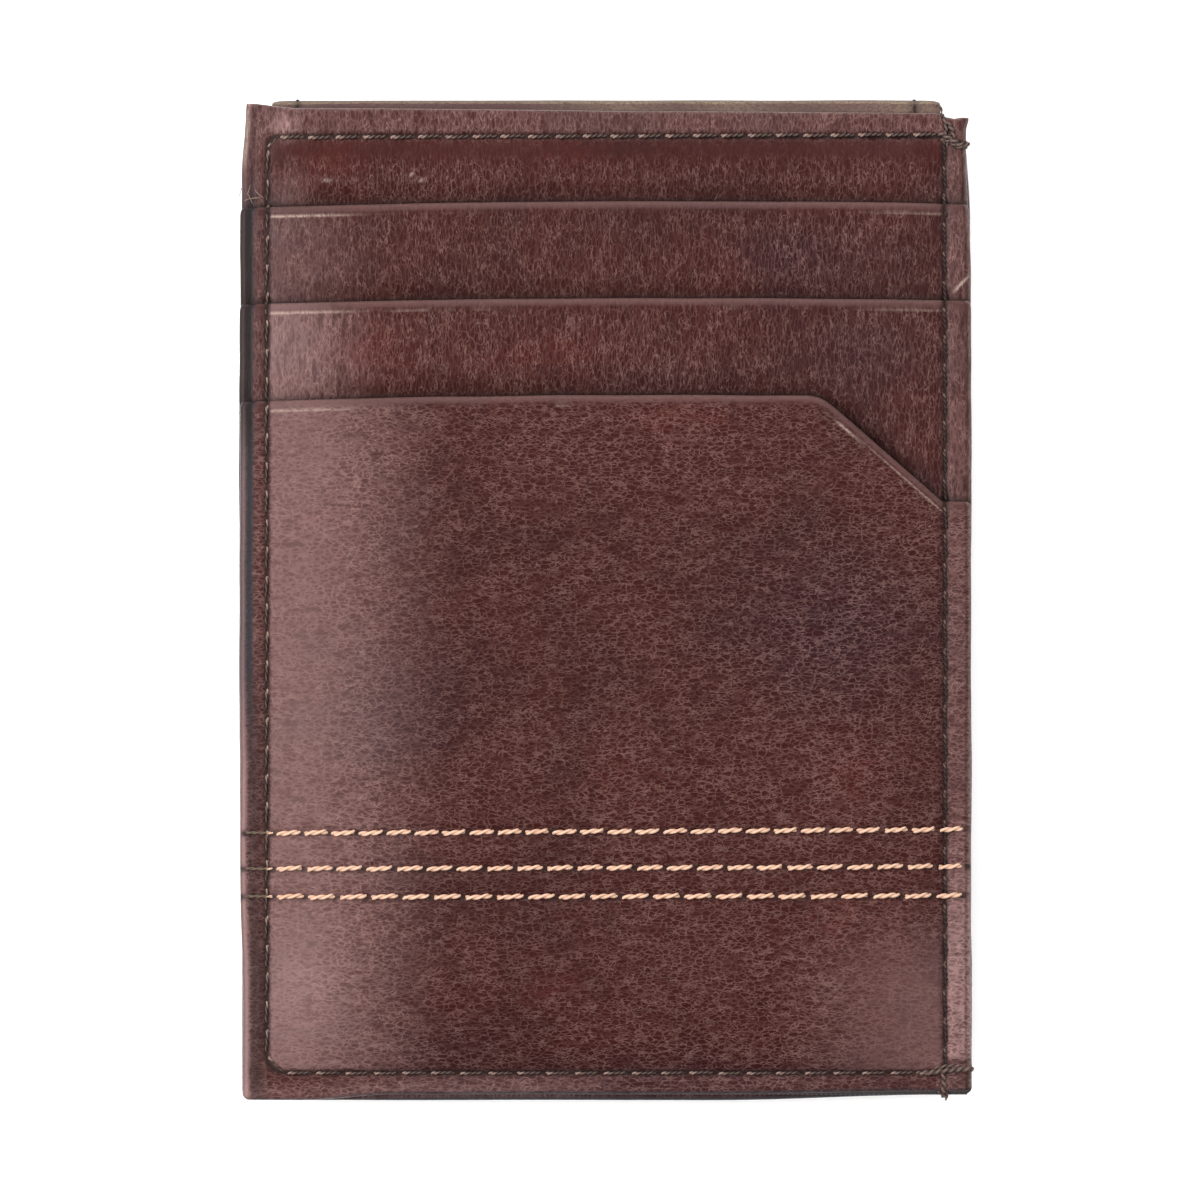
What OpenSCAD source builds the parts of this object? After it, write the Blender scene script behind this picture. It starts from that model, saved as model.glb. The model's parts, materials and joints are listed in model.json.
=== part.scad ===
// Slim leather card wallet with three stepped pockets and a magnetic money clip.
// It lies on its clip: +X is its width, +Y points to its open top edge, +Z is its front.

/* [Body] */
// Width of the body
body_w = 77; // [72:0.5:90]
// Height of the body, with the clip's fold at the top
body_h = 105.2; // [100:0.1:120]
// Radius of the body's corners
corner_r = 2.4; // [1:0.1:4]
// How far the clip's fold stands above the front panel's top edge
fold_peek = 0.8; // [0.4:0.1:2]

/* [Leather and lining] */
// Thickness of the front panel, the back panel and their turned-in edges
panel_t = 0.9; // [0.8:0.05:1.2]
// Thickness of a pocket's leather
pocket_t = 0.7; // [0.5:0.05:1]
// Thickness of a turned-in pocket edge, pared thin, which is also the room for a card
pocket_hem_t = 0.35; // [0.3:0.05:0.6]
// Thickness of the lining cloth
lining_t = 0.12; // [0.1:0.01:0.2]
// Width of a turned-in edge
hem_w = 5; // [4:0.1:7]

/* [Pockets] */
// Step from the top edge to the rear pocket's mouth, and from each mouth to the next
mouth_step = 10.2; // [8:0.1:12]
// Width of the slanted corner at the right of the front pocket's mouth
slant_w = 12.6; // [6:0.1:20]
// Height of the slanted corner
slant_h = 10.4; // [5:0.1:14]
// Length of a card, which sets where the pockets' linings are sewn shut
card_l = 85.6; // [85:0.1:86]

/* [Clip] */
// Width of the clip
clip_w = 70.4; // [60:0.1:71]
// Length of the clip's free leg, from the fold's axis to the tip
clip_l = 61.6; // [58:0.1:70]
// Thickness of one of the clip's two plies
clip_t = 0.7; // [0.6:0.05:0.8]
// Thickness of the board between the plies
core_t = 0.8; // [0.6:0.05:1]
// Radius of the tip's corners
tip_r = 5; // [3:0.1:10]
// Gap between the closed clip and the back panel
clip_gap = 0.3; // [0.3:0.05:0.6]
// Gap on each side of the fold's axis, where the leather bends
bend_gap = 0.15; // [0.15:0.01:0.3]
// Depth that the clip's leather reaches down inside the body
root_l = 14; // [10:0.5:20]

/* [Magnets] */
// Diameter of a magnet
magnet_d = 12; // [8:0.5:16]
// Distance of the magnets from the centre line
magnet_x = 16; // [10:0.5:22]
// Distance of the magnets from the clip's tip
magnet_from_tip = 11; // [9:0.5:16]

/* [Stitching] */
// Distance of the body's seams from its edges
seam_in = 2.9; // [2.4:0.1:3.6]
// Thickness of the brown thread
thread_d = 0.46; // [0.3:0.02:0.6]
// Distance from one brown stitch to the next
pitch = 3; // [2.4:0.1:4]
// Share of the pitch that a stitch shows
stitch_share = 0.84; // [0.6:0.02:0.9]
// Thickness of the cream thread across the front pocket
cream_d = 0.6; // [0.4:0.02:0.7]
// Height of the upper cream row above the bottom edge
cream_y = 28.3; // [15:0.1:35]
// Distance of the clip's seam from its sides
clip_seam_in = 2.7; // [2.2:0.1:4]

/* [Hidden] */
$fn = 32;

leather = [0.34, 0.21, 0.19];
leather_inside = [0.45, 0.33, 0.28];
lining_cloth = [0.16, 0.13, 0.13];
board = [0.55, 0.44, 0.34];
magnet_steel = [0.75, 0.76, 0.78];
brown_thread = [0.24, 0.15, 0.12];
cream_thread = [0.88, 0.73, 0.57];

// Room that keeps two solids that only touch from overlapping
clear = 0.01;

// Edges of the body, from its centre
half_w = body_w / 2;
bottom = -body_h / 2;
crest = body_h / 2;
front_top = crest - fold_peek;

// Heights of the layers, from the clip's outside up
clip_stack = 2 * clip_t + core_t;
z_back = clip_stack + clip_gap;
z_filling = z_back + panel_t;
z_back_lining = z_filling + panel_t;
z_front_hem = z_back_lining + lining_t;
z_front = z_front_hem + panel_t;
z_front_top = z_front + panel_t;
leaf_pitch = pocket_hem_t + lining_t + pocket_t;

// The fold's axis, level with the middle of the leather that it joins
fold_r = z_back_lining / 2;
axis_z = fold_r;
axis_y = crest - fold_r;
back_top = axis_y - 2 * bend_gap;

// Where the front panel's turned-in top edge ends, pared thin so that notes pass it
top_hem_y = front_top - hem_w - 3;

// Mouths of the pockets, rear, middle and front, and the tops of their leather
mouths = [for (i = [1:3]) front_top - i * mouth_step];
tops = [for (i = [0:3]) z_front_top + i * leaf_pitch];
slant_x = half_w - seam_in - 0.5 - slant_w;

// The card stops of the rear and middle pockets, so that each card shows above its mouth
card_shows = [8, 11];
card_stops = [for (i = [0:1]) mouths[i] + card_shows[i] - card_l];

// Seams of the body, and how far their stitches keep from a corner or a step
seam_x = half_w - seam_in;
seam_bottom = bottom + seam_in;
seam_top = front_top - seam_in - 0.2;
turn = 0.4;
tack_x = seam_x - 2.4;

// The clip's tip, its seam and its magnets
tip = axis_y - clip_l;
clip_seam_x = clip_w / 2 - clip_seam_in;
clip_seam_tip = tip + clip_seam_in;
clip_seam_side = clip_seam_tip + 2;
clip_seam_top = axis_y - 3;
magnet_y = tip + magnet_from_tip;
core_in = 4.2;
core_top = axis_y - 5;
ramp_l = 3;

// The leg inside the body is narrower, so that it passes between the side seams
root_w = clip_w - 8;
root_end = axis_y - root_l;
root_seam_x = root_w / 2 - 2;
root_seam_end = root_end + 2;
back_seam_top = back_top - 3;

// The thread's groove in the leather
groove_w = thread_d + 0.08;
cream_groove_w = cream_d + 0.08;

// Where another surface lies close, the thread is hidden in a deeper groove
sunk = 0.04;
deep = sunk + thread_d + 0.04;

// Rows of cream thread: the height of each and the distance between its stitches
cream_rows = [[bottom + cream_y, 2.94], [bottom + cream_y - 3.8, 3.18],
    [bottom + cream_y - 6.8, 3.29]];
cream_x0 = -seam_x + 0.6;
cream_x1 = half_w - 0.3;

module rounded(x0, x1, y0, y1, r) {
    translate([x0 + r, y0])
        square([x1 - x0 - 2 * r, y1 - y0]);
    translate([x0, y0 + r])
        square([x1 - x0, y1 - y0 - 2 * r]);
    for (x = [x0 + r, x1 - r], y = [y0 + r, y1 - r])
        translate([x, y])
            circle(r = r);
}

module plate(half, y0, y1, z0, t, r = corner_r) {
    translate([0, 0, z0])
        linear_extrude(t)
            rounded(-half, half, y0, y1, r);
}

// A shape drawn in Y and Z, carried across the width
module across(width) {
    translate([-width / 2, 0, 0])
        rotate([90, 0, 90])
            linear_extrude(width)
                children();
}

// A turned-in edge: two sides and a bottom, as three strips that all but meet
module turned_edge(y1, z0, t) {
    half = half_w - 0.2;
    low = bottom + 0.2;
    side_low = low + hem_w + clear;
    for (side = [-1, 1])
        translate([side < 0 ? -half : half - hem_w, side_low, z0])
            cube([hem_w, y1 - side_low, t]);
    translate([0, 0, z0])
        linear_extrude(t) {
            translate([-half + corner_r, low])
                square([2 * half - 2 * corner_r, hem_w]);
            translate([-half, low + corner_r])
                square([2 * half, hem_w - corner_r]);
            for (side = [-1, 1])
                translate([side * (half - corner_r), low + corner_r])
                    circle(r = corner_r);
        }
}

// Stitches along X at one y, and along Y at one x, lying at the height z
module stitches_x(x0, x1, y, z, d = thread_d, step = pitch) {
    n = floor((x1 - x0) / step);
    gap = (x1 - x0) / n;
    for (i = [0:n - 1])
        translate([x0 + (i + 0.5 - stitch_share / 2) * gap, y, z])
            rotate([0, 90, 0])
                cylinder(d = d, h = gap * stitch_share);
}

module stitches_y(x, y0, y1, z, d = thread_d) {
    n = max(1, floor((y1 - y0) / pitch));
    gap = (y1 - y0) / n;
    for (i = [0:n - 1])
        translate([x, y0 + (i + 0.5 - stitch_share / 2) * gap, z])
            rotate([-90, 0, 0])
                cylinder(d = d, h = gap * stitch_share);
}

// Straight grooves that the thread lies in, cut to a depth below or above the surface at z
module groove_x(x0, x1, y, z, depth = groove_w / 2, w = groove_w) {
    translate([x0 - w / 2, y - w / 2, z - depth])
        cube([x1 - x0 + w, w, 2 * depth]);
}

module groove_y(x, y0, y1, z, depth = groove_w / 2, w = groove_w) {
    translate([x - w / 2, y0 - w / 2, z - depth])
        cube([w, y1 - y0 + w, 2 * depth]);
}

module magnets(z) {
    for (side = [-1, 1])
        translate([side * magnet_x, magnet_y, z])
            cylinder(d = magnet_d, h = core_t);
}

// Room for the two magnets in a board
module magnet_holes(z, t) {
    for (side = [-1, 1])
        translate([side * magnet_x, magnet_y, z - 1])
            cylinder(d = magnet_d + 0.2, h = t + 2);
}

// ---- back of the body ----

module back_panel() {
    color(leather)
        difference() {
            plate(half_w, bottom, back_top, z_back, panel_t);
            for (side = [-1, 1]) {
                groove_y(side * seam_x, seam_bottom, back_seam_top, z_back);
                groove_y(side * root_seam_x, root_seam_end, back_seam_top, z_back, deep);
            }
            groove_x(-seam_x, seam_x, seam_bottom, z_back);
            for (y = [root_seam_end, back_seam_top])
                groove_x(-root_seam_x, root_seam_x, y, z_back, deep);
        }
}

module back_panel_hem() {
    color(leather_inside)
        turned_edge(back_top - 1, z_filling, panel_t);
}

module back_stiffener() {
    inner = half_w - 0.2 - hem_w - 0.1;
    color(board)
        difference() {
            plate(inner, bottom + 0.2 + hem_w + 0.1, root_end - 0.1, z_filling, panel_t, 1);
            magnet_holes(z_filling, panel_t);
        }
}

module body_magnets() {
    color(magnet_steel)
        magnets(z_filling + (panel_t - core_t) / 2);
}

module strap_root_inner_ply() {
    color(leather_inside)
        translate([-root_w / 2, root_end, z_filling])
            cube([root_w, root_l - bend_gap, panel_t / 2]);
}

module strap_root_outer_ply() {
    color(leather)
        translate([-root_w / 2, root_end, z_filling + panel_t / 2])
            cube([root_w, root_l - bend_gap, panel_t / 2]);
}

module back_lining() {
    color(lining_cloth)
        plate(half_w - 0.6, bottom + 0.6, back_top - 1.2, z_back_lining, lining_t);
}

// ---- front panel, in front of the compartment for notes ----

module front_panel_hem() {
    color(leather_inside) {
        turned_edge(top_hem_y, z_front_hem, panel_t);
        translate([-half_w + 0.2, top_hem_y + clear, z_front - panel_t / 2])
            cube([body_w - 0.4, front_top - top_hem_y - 0.4, panel_t / 2]);
    }
}

module front_lining() {
    inner = half_w - 0.2 - hem_w - 0.1;
    color(lining_cloth)
        plate(inner, bottom + hem_w + 0.3, top_hem_y - 0.1, z_front - lining_t, lining_t, 1);
}

module front_panel() {
    color(leather)
        difference() {
            plate(half_w - 0.2, bottom + 0.1, front_top, z_front, panel_t);
            groove_x(-seam_x, seam_x, seam_top, tops[0]);
            side_grooves(0);
        }
}

// ---- stepped pockets: i counts them from the rear ----

module pocket_hem(i) {
    color(leather_inside)
        turned_edge(i < 2 ? mouths[i] - 0.2 : mouths[i] - slant_h - 0.2, tops[i], pocket_hem_t);
}

module pocket_lining(i) {
    color(lining_cloth)
        plate(half_w - 0.6, bottom + 0.6, i < 2 ? mouths[i] - 0.8 : mouths[i] - slant_h - 0.8,
            tops[i] + pocket_hem_t, lining_t);
}

module rear_pocket_hem() {
    pocket_hem(0);
}

module rear_pocket_lining() {
    pocket_lining(0);
}

module rear_pocket_face() {
    color(leather)
        difference() {
            plate(half_w, bottom + 0.1, mouths[0], tops[1] - pocket_t, pocket_t, 1);
            side_grooves(1);
        }
}

module middle_pocket_hem() {
    pocket_hem(1);
}

module middle_pocket_lining() {
    pocket_lining(1);
}

module middle_pocket_face() {
    color(leather)
        difference() {
            plate(half_w, bottom + 0.1, mouths[1], tops[2] - pocket_t, pocket_t, 1);
            side_grooves(2);
        }
}

module front_pocket_hem() {
    pocket_hem(2);
}

module front_pocket_lining() {
    pocket_lining(2);
}

module front_pocket_face() {
    far = 2 * half_w;
    color(leather)
        difference() {
            plate(half_w, bottom, mouths[2], tops[3] - pocket_t, pocket_t, corner_r);
            translate([0, 0, tops[3] - pocket_t - 1])
                linear_extrude(pocket_t + 2)
                    polygon([[slant_x, mouths[2]], [slant_x + slant_w, mouths[2] - slant_h],
                        [far, mouths[2] - slant_h], [far, mouths[2] + 1],
                        [slant_x, mouths[2] + 1]]);
            side_grooves(3);
            groove_x(-seam_x, seam_x, seam_bottom, tops[3]);
            for (row = cream_rows)
                groove_x(cream_x0, cream_x1, row[0], tops[3], cream_groove_w / 2, cream_groove_w);
        }
}

// ---- thread ----

// Where the side seam starts and ends on each of the four levels of the stepped front
function front_mouth(side) = side > 0 ? mouths[2] - slant_h : mouths[2];
function seam_breaks(side) = [seam_top, mouths[0], mouths[1], front_mouth(side), seam_bottom];

module side_grooves(level) {
    for (side = [-1, 1])
        groove_y(side * seam_x, seam_breaks(side)[level + 1], seam_breaks(side)[level],
            tops[level]);
}

module cream_row(i) {
    color(cream_thread)
        difference() {
            stitches_x(cream_x0, cream_x1, cream_rows[i][0], tops[3] + clear, cream_d,
                cream_rows[i][1]);
            // the right-hand seam crosses over the row
            translate([seam_x - groove_w / 2 - 0.1, bottom, tops[3] - 1])
                cube([groove_w + 0.2, body_h / 2, 3]);
        }
}

module card_stop_stitching() {
    color(brown_thread)
        for (i = [0:1])
            stitches_x(-seam_x + 3, seam_x - 3, card_stops[i], tops[i] + pocket_hem_t / 2,
                pocket_hem_t - 0.05);
}

module case_stitching_front() {
    color(brown_thread) {
        for (side = [-1, 1], level = [0:3])
            stitches_y(side * seam_x, seam_breaks(side)[level + 1] + turn,
                seam_breaks(side)[level] - turn, tops[level] + clear);
        stitches_x(-seam_x + turn, seam_x - turn, seam_top, tops[0] + clear);
        stitches_x(-seam_x + turn, tack_x, seam_bottom, tops[3] + clear);
    }
}

module case_stitching_back() {
    color(brown_thread) {
        for (side = [-1, 1])
            stitches_y(side * seam_x, seam_bottom + turn, back_seam_top, z_back - clear);
        stitches_x(-seam_x + turn, seam_x - turn, seam_bottom, z_back - clear);
    }
}

module strap_root_stitching() {
    z = z_back + sunk + thread_d / 2;
    color(brown_thread) {
        for (side = [-1, 1])
            stitches_y(side * root_seam_x, root_seam_end + turn, back_seam_top - turn, z);
        for (y = [root_seam_end, back_seam_top])
            stitches_x(-root_seam_x + turn, root_seam_x - turn, y, z);
    }
}

// Extra stitches where the seam starts and ends, at the right-hand corners
module tack(x0, x1, y, z) {
    translate([x0, y, z])
        rotate([0, 90, 0])
            cylinder(d = thread_d, h = x1 - x0);
}

module seam_back_tacks() {
    color(brown_thread) {
        tack(seam_x + turn, half_w - 0.8, seam_top, tops[0] + thread_d / 2);
        tack(tack_x + 0.1, seam_x - turn, seam_bottom, tops[3] + clear);
        tack(seam_x + turn, half_w - 0.4, seam_bottom, tops[3] + thread_d / 2);
    }
}

// ---- the clip, at rest under the back panel ----

module clip_outline(z0, t, inset = 0, y_end = axis_y - bend_gap) {
    half = clip_w / 2 - inset;
    low = tip + inset;
    r = tip_r - inset / 2;
    translate([0, 0, z0])
        linear_extrude(t) {
            translate([-half, low + r])
                square([2 * half, y_end - low - r]);
            translate([-half + r, low])
                square([2 * half - 2 * r, r + 1]);
            for (side = [-1, 1])
                translate([side * (half - r), low + r])
                    circle(r = r);
        }
}

module clip_grooves(z, y_end) {
    for (side = [-1, 1])
        groove_y(side * clip_seam_x, clip_seam_side, y_end, z, deep);
    groove_x(-clip_seam_x + 2, clip_seam_x - 2, clip_seam_tip, z, deep);
}

// Stitches round the clip's sides and tip
module clip_stitches(z, y_end) {
    color(brown_thread) {
        for (side = [-1, 1])
            stitches_y(side * clip_seam_x, clip_seam_side, y_end, z);
        stitches_x(-clip_seam_x + 2, clip_seam_x - 2, clip_seam_tip, z);
    }
}

module clip_outer_ply() {
    color(leather)
        difference() {
            clip_outline(0, clip_t);
            clip_grooves(0, clip_seam_top);
        }
}

module clip_core() {
    color(board)
        difference() {
            clip_outline(clip_t, core_t, core_in, core_top);
            magnet_holes(clip_t, core_t);
        }
}

module clip_magnets() {
    color(magnet_steel)
        magnets(clip_t);
}

// Over the board, then down a ramp to meet the outer ply at the fold
module clip_inner_ply() {
    top = clip_t + core_t;
    color(leather_inside)
        difference() {
            union() {
                clip_outline(top, clip_t, 0, core_top + 1);
                across(clip_w)
                    polygon([[core_top + 1, top], [core_top + 1, top + clip_t],
                        [core_top + 1 + ramp_l, 2 * clip_t], [axis_y - bend_gap, 2 * clip_t],
                        [axis_y - bend_gap, clip_t], [core_top + 1 + ramp_l, clip_t]]);
            }
            clip_grooves(clip_stack, core_top);
        }
}

module clip_stitching_outer() {
    clip_stitches(sunk + thread_d / 2, clip_seam_top);
}

module clip_stitching_inner() {
    clip_stitches(clip_stack - sunk - thread_d / 2, core_top);
}

// Half a tube round the fold's axis, with short flats that meet the plies
module fold_ply(r_out, t) {
    translate([0, axis_y, axis_z])
        across(clip_w)
            difference() {
                union() {
                    circle(r = r_out);
                    translate([-bend_gap, -r_out])
                        square([bend_gap, 2 * r_out]);
                }
                circle(r = r_out - t);
                translate([-bend_gap, -r_out + t])
                    square([bend_gap, 2 * (r_out - t)]);
                translate([-2 * r_out - bend_gap, -2 * r_out])
                    square([2 * r_out, 4 * r_out]);
            }
}

module clip_fold_outer_ply() {
    color(leather)
        fold_ply(fold_r, clip_t);
}

module clip_fold_inner_ply() {
    color(leather_inside)
        fold_ply(fold_r - clip_t, clip_t);
}

back_panel();
back_panel_hem();
back_stiffener();
body_magnets();
strap_root_inner_ply();
strap_root_outer_ply();
back_lining();
front_panel_hem();
front_lining();
front_panel();
rear_pocket_hem();
rear_pocket_lining();
rear_pocket_face();
middle_pocket_hem();
middle_pocket_lining();
middle_pocket_face();
front_pocket_hem();
front_pocket_lining();
front_pocket_face();
card_stop_stitching();
case_stitching_front();
case_stitching_back();
strap_root_stitching();
cream_row(0);  // cream_stitching_upper
cream_row(1);  // cream_stitching_middle
cream_row(2);  // cream_stitching_lower
seam_back_tacks();
clip_outer_ply();
clip_inner_ply();
clip_core();
clip_magnets();
clip_stitching_outer();
clip_stitching_inner();
clip_fold_outer_ply();
clip_fold_inner_ply();
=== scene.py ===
"""Looks of a slim leather card wallet with a magnetic clip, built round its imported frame.

Lengths are in millimetres until a mesh is made. The frame's axes: +X is the wallet's width,
+Y points to its open top edge and +Z out of its pocket front.
"""

import json
import math
from functools import partial

import bpy
import numpy as np
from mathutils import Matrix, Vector


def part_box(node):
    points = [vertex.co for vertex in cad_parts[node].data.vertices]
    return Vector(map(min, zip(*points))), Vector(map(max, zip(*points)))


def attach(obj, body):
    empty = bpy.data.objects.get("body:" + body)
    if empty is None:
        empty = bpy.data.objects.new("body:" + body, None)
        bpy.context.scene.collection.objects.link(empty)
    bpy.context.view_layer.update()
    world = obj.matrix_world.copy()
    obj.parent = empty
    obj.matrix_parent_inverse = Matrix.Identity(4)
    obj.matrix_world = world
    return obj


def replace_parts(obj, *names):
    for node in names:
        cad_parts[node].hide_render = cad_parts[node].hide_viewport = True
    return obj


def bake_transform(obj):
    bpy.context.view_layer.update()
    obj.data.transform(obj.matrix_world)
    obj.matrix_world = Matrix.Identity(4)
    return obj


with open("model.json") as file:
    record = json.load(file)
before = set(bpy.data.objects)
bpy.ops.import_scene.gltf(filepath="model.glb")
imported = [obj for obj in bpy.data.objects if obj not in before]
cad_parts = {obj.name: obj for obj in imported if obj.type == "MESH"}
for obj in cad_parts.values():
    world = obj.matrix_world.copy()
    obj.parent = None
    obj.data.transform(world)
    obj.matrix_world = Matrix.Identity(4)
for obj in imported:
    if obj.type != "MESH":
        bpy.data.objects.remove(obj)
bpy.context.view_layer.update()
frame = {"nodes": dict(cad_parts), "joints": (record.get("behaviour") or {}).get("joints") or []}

MM = 0.001


def box_mm(node):
    """A CAD node's lowest and highest corners, in millimetres."""
    low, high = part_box(node)
    return np.array(low) / MM, np.array(high) / MM


# ---------------------------------------------------------------- measures from the frame

# The front's leather leaves, from the rear one to the one on top, with their turned-in edges
LEAVES = ["front_panel", "rear_pocket_face", "middle_pocket_face", "front_pocket_face"]
HEMS = ["front_panel_hem", "rear_pocket_hem", "middle_pocket_hem", "front_pocket_hem"]
LEAF_LOWS, LEAF_HIGHS = zip(*(box_mm(node) for node in LEAVES))
LEAF_TOP = [high[2] for high in LEAF_HIGHS]
LEAF_T = [high[2] - low[2] for low, high in zip(LEAF_LOWS, LEAF_HIGHS)]
MOUTH = [high[1] for high in LEAF_HIGHS]
BACK_LOW, BACK_HIGH = box_mm("back_panel")
HALF_W = LEAF_HIGHS[3][0]
BOTTOM = LEAF_LOWS[3][1]

THREAD_D = 0.46


def seam_box(node):
    """The box that the middles of a row's threads span."""
    low, high = box_mm(node)
    return low + THREAD_D / 2, high - THREAD_D / 2


(_, SEAM_BOTTOM, _), (SEAM_X, SEAM_TOP, _) = seam_box("case_stitching_front")
CREAM_ROWS = ("upper", "middle", "lower")
CREAM_BOXES = [box_mm("cream_stitching_" + name) for name in CREAM_ROWS]
CREAM_Y = [(low[1] + high[1]) / 2 for low, high in CREAM_BOXES]

OUTER_LOW, OUTER_HIGH = box_mm("clip_outer_ply")
INNER_LOW, INNER_HIGH = box_mm("clip_inner_ply")
CLIP_HALF = OUTER_HIGH[0]
AXIS_Y, AXIS_Z = (k / MM for k in frame["joints"][0]["pos_m"][1:])
# The clip's leather laps the bend by a hair, so that no light shows between them
CLIP_END = AXIS_Y + 0.02

# The slanted corner of the front pocket's mouth
SLANT_START = 22.5
SLANT_END = 35.2
SLANT_DROP = 10.9

# ---------------------------------------------------------------- small maths


def smooth(t):
    t = np.clip(t, 0, 1)
    return t * t * (3 - 2 * t)


def bell(distance, width):
    return np.exp(-((distance / width) ** 2))


def noise(x, y, cell_x, cell_y, seed):
    """Smooth random hills from -1 to 1, one for each cell of the given size."""
    table = np.random.default_rng(seed).uniform(-1, 1, (64, 64))
    u, v = x / cell_x + 13.7, y / cell_y + 7.3
    i, j = np.floor(u).astype(int), np.floor(v).astype(int)
    a, b = smooth(u - i), smooth(v - j)
    low = table[i % 64, j % 64] * (1 - a) + table[(i + 1) % 64, j % 64] * a
    high = table[i % 64, (j + 1) % 64] * (1 - a) + table[(i + 1) % 64, (j + 1) % 64] * a
    return low * (1 - b) + high * b


def spaced(*stops):
    """Grid lines through stops of (place, step up to the next place)."""
    lines = []
    for (a, step), (b, _) in zip(stops, stops[1:]):
        count = max(1, round((b - a) / step))
        lines.extend(np.linspace(a, b, count, endpoint=False))
    return np.array([*lines, stops[-1][0]])


# A slab's other side has one point for this many of the face's, both ways
COARSE = 4
EDGE_STEPS = (0, 0.04, 0.1, 0.18, 0.28, 0.42, 0.6, 0.85, 1.15)


def with_edges(lines):
    """The same lines, with fine ones along both ends for the rounded edges.

    Their number is filled up to whole COARSE cells.
    """
    first, last = lines[0], lines[-1]
    inner = lines[(lines > first + EDGE_STEPS[-1] + 0.1) & (lines < last - EDGE_STEPS[-1] - 0.1)]
    steps = np.array(EDGE_STEPS)
    every = np.concatenate([first + steps, inner, last - steps[::-1]])
    for _ in range(-(len(every) - 1) % COARSE):
        gap = np.argmax(np.diff(every))
        every = np.insert(every, gap + 1, (every[gap] + every[gap + 1]) / 2)
    return every


# ---------------------------------------------------------------- meshes


def add_object(name, data):
    thing = bpy.data.objects.new(name, data)
    bpy.context.scene.collection.objects.link(thing)
    return thing


def make_piece(name, verts, faces, material, body="body", marks=None):
    """A mesh from points in millimetres, riding on a body, with its marks as point values."""
    mesh = bpy.data.meshes.new(name)
    mesh.from_pydata((np.asarray(verts) * MM).tolist(), [], faces)
    mesh.validate()
    mesh.polygons.foreach_set("use_smooth", [True] * len(mesh.polygons))
    for key, values in (marks or {}).items():
        layer = mesh.attributes.new(key, "FLOAT", "POINT")
        layer.data.foreach_set("value", np.asarray(values, np.float32))
    mesh.materials.append(material)
    piece = add_object(name, mesh)
    if body:
        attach(piece, body)
    return piece


def slab(x, y, face, other, marks):
    """A closed slab on a grid: a fine face, and a coarser other side that shares its rim.

    x, y, face and other are grids of the same shape. marks is a function of x and y that gives
    the point values. face may lie above or below other. Returns points, faces and marks.
    """
    nx, ny = x.shape
    points = np.stack([x, y, face], -1).reshape(-1, 3)
    rim = np.zeros((nx, ny), bool)
    rim[[0, -1], :] = True
    rim[:, [0, -1]] = True
    points[rim.ravel(), 2] = ((face + other) / 2)[rim]
    index = np.arange(nx * ny).reshape(nx, ny)
    quads = np.stack([index[:-1, :-1], index[1:, :-1], index[1:, 1:], index[:-1, 1:]], -1)
    faces = quads.reshape(-1, 4).tolist()
    ci, cj = np.arange(0, nx, COARSE), np.arange(0, ny, COARSE)
    inner = np.ix_(ci[1:-1], cj[1:-1])
    extra = np.stack([x[inner], y[inner], other[inner]], -1).reshape(-1, 3)
    under = index[np.ix_(ci, cj)]
    under[1:-1, 1:-1] = len(points) + np.arange(len(extra)).reshape(len(ci) - 2, len(cj) - 2)
    for a, (i0, i1) in enumerate(zip(ci, ci[1:])):
        for b, (j0, j1) in enumerate(zip(cj, cj[1:])):
            # A cell at the rim also takes in the rim's fine points
            ring = [
                under[a, b], *(index[0, j0 + 1 : j1] if i0 == 0 else ()),
                under[a, b + 1], *(index[i0 + 1 : i1, -1] if j1 == ny - 1 else ()),
                under[a + 1, b + 1], *(index[-1, j1 - 1 : j0 : -1] if i1 == nx - 1 else ()),
                under[a + 1, b], *(index[i1 - 1 : i0 : -1, 0] if j0 == 0 else ()),
            ]
            faces.append([int(k) for k in ring])
    points = np.concatenate([points, extra])
    if face[nx // 2, ny // 2] < other[nx // 2, ny // 2]:
        faces = [f[::-1] for f in faces]
    return points, faces, marks(points[:, 0], points[:, 1])


def rounded_drop(distance, width, height):
    """How far a surface falls towards a rounded edge."""
    t = np.clip(1 - distance / width, 0, 1)
    return height * (1 - np.sqrt(np.maximum(1 - t * t, 0)))


# ---------------------------------------------------------------- materials


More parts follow.
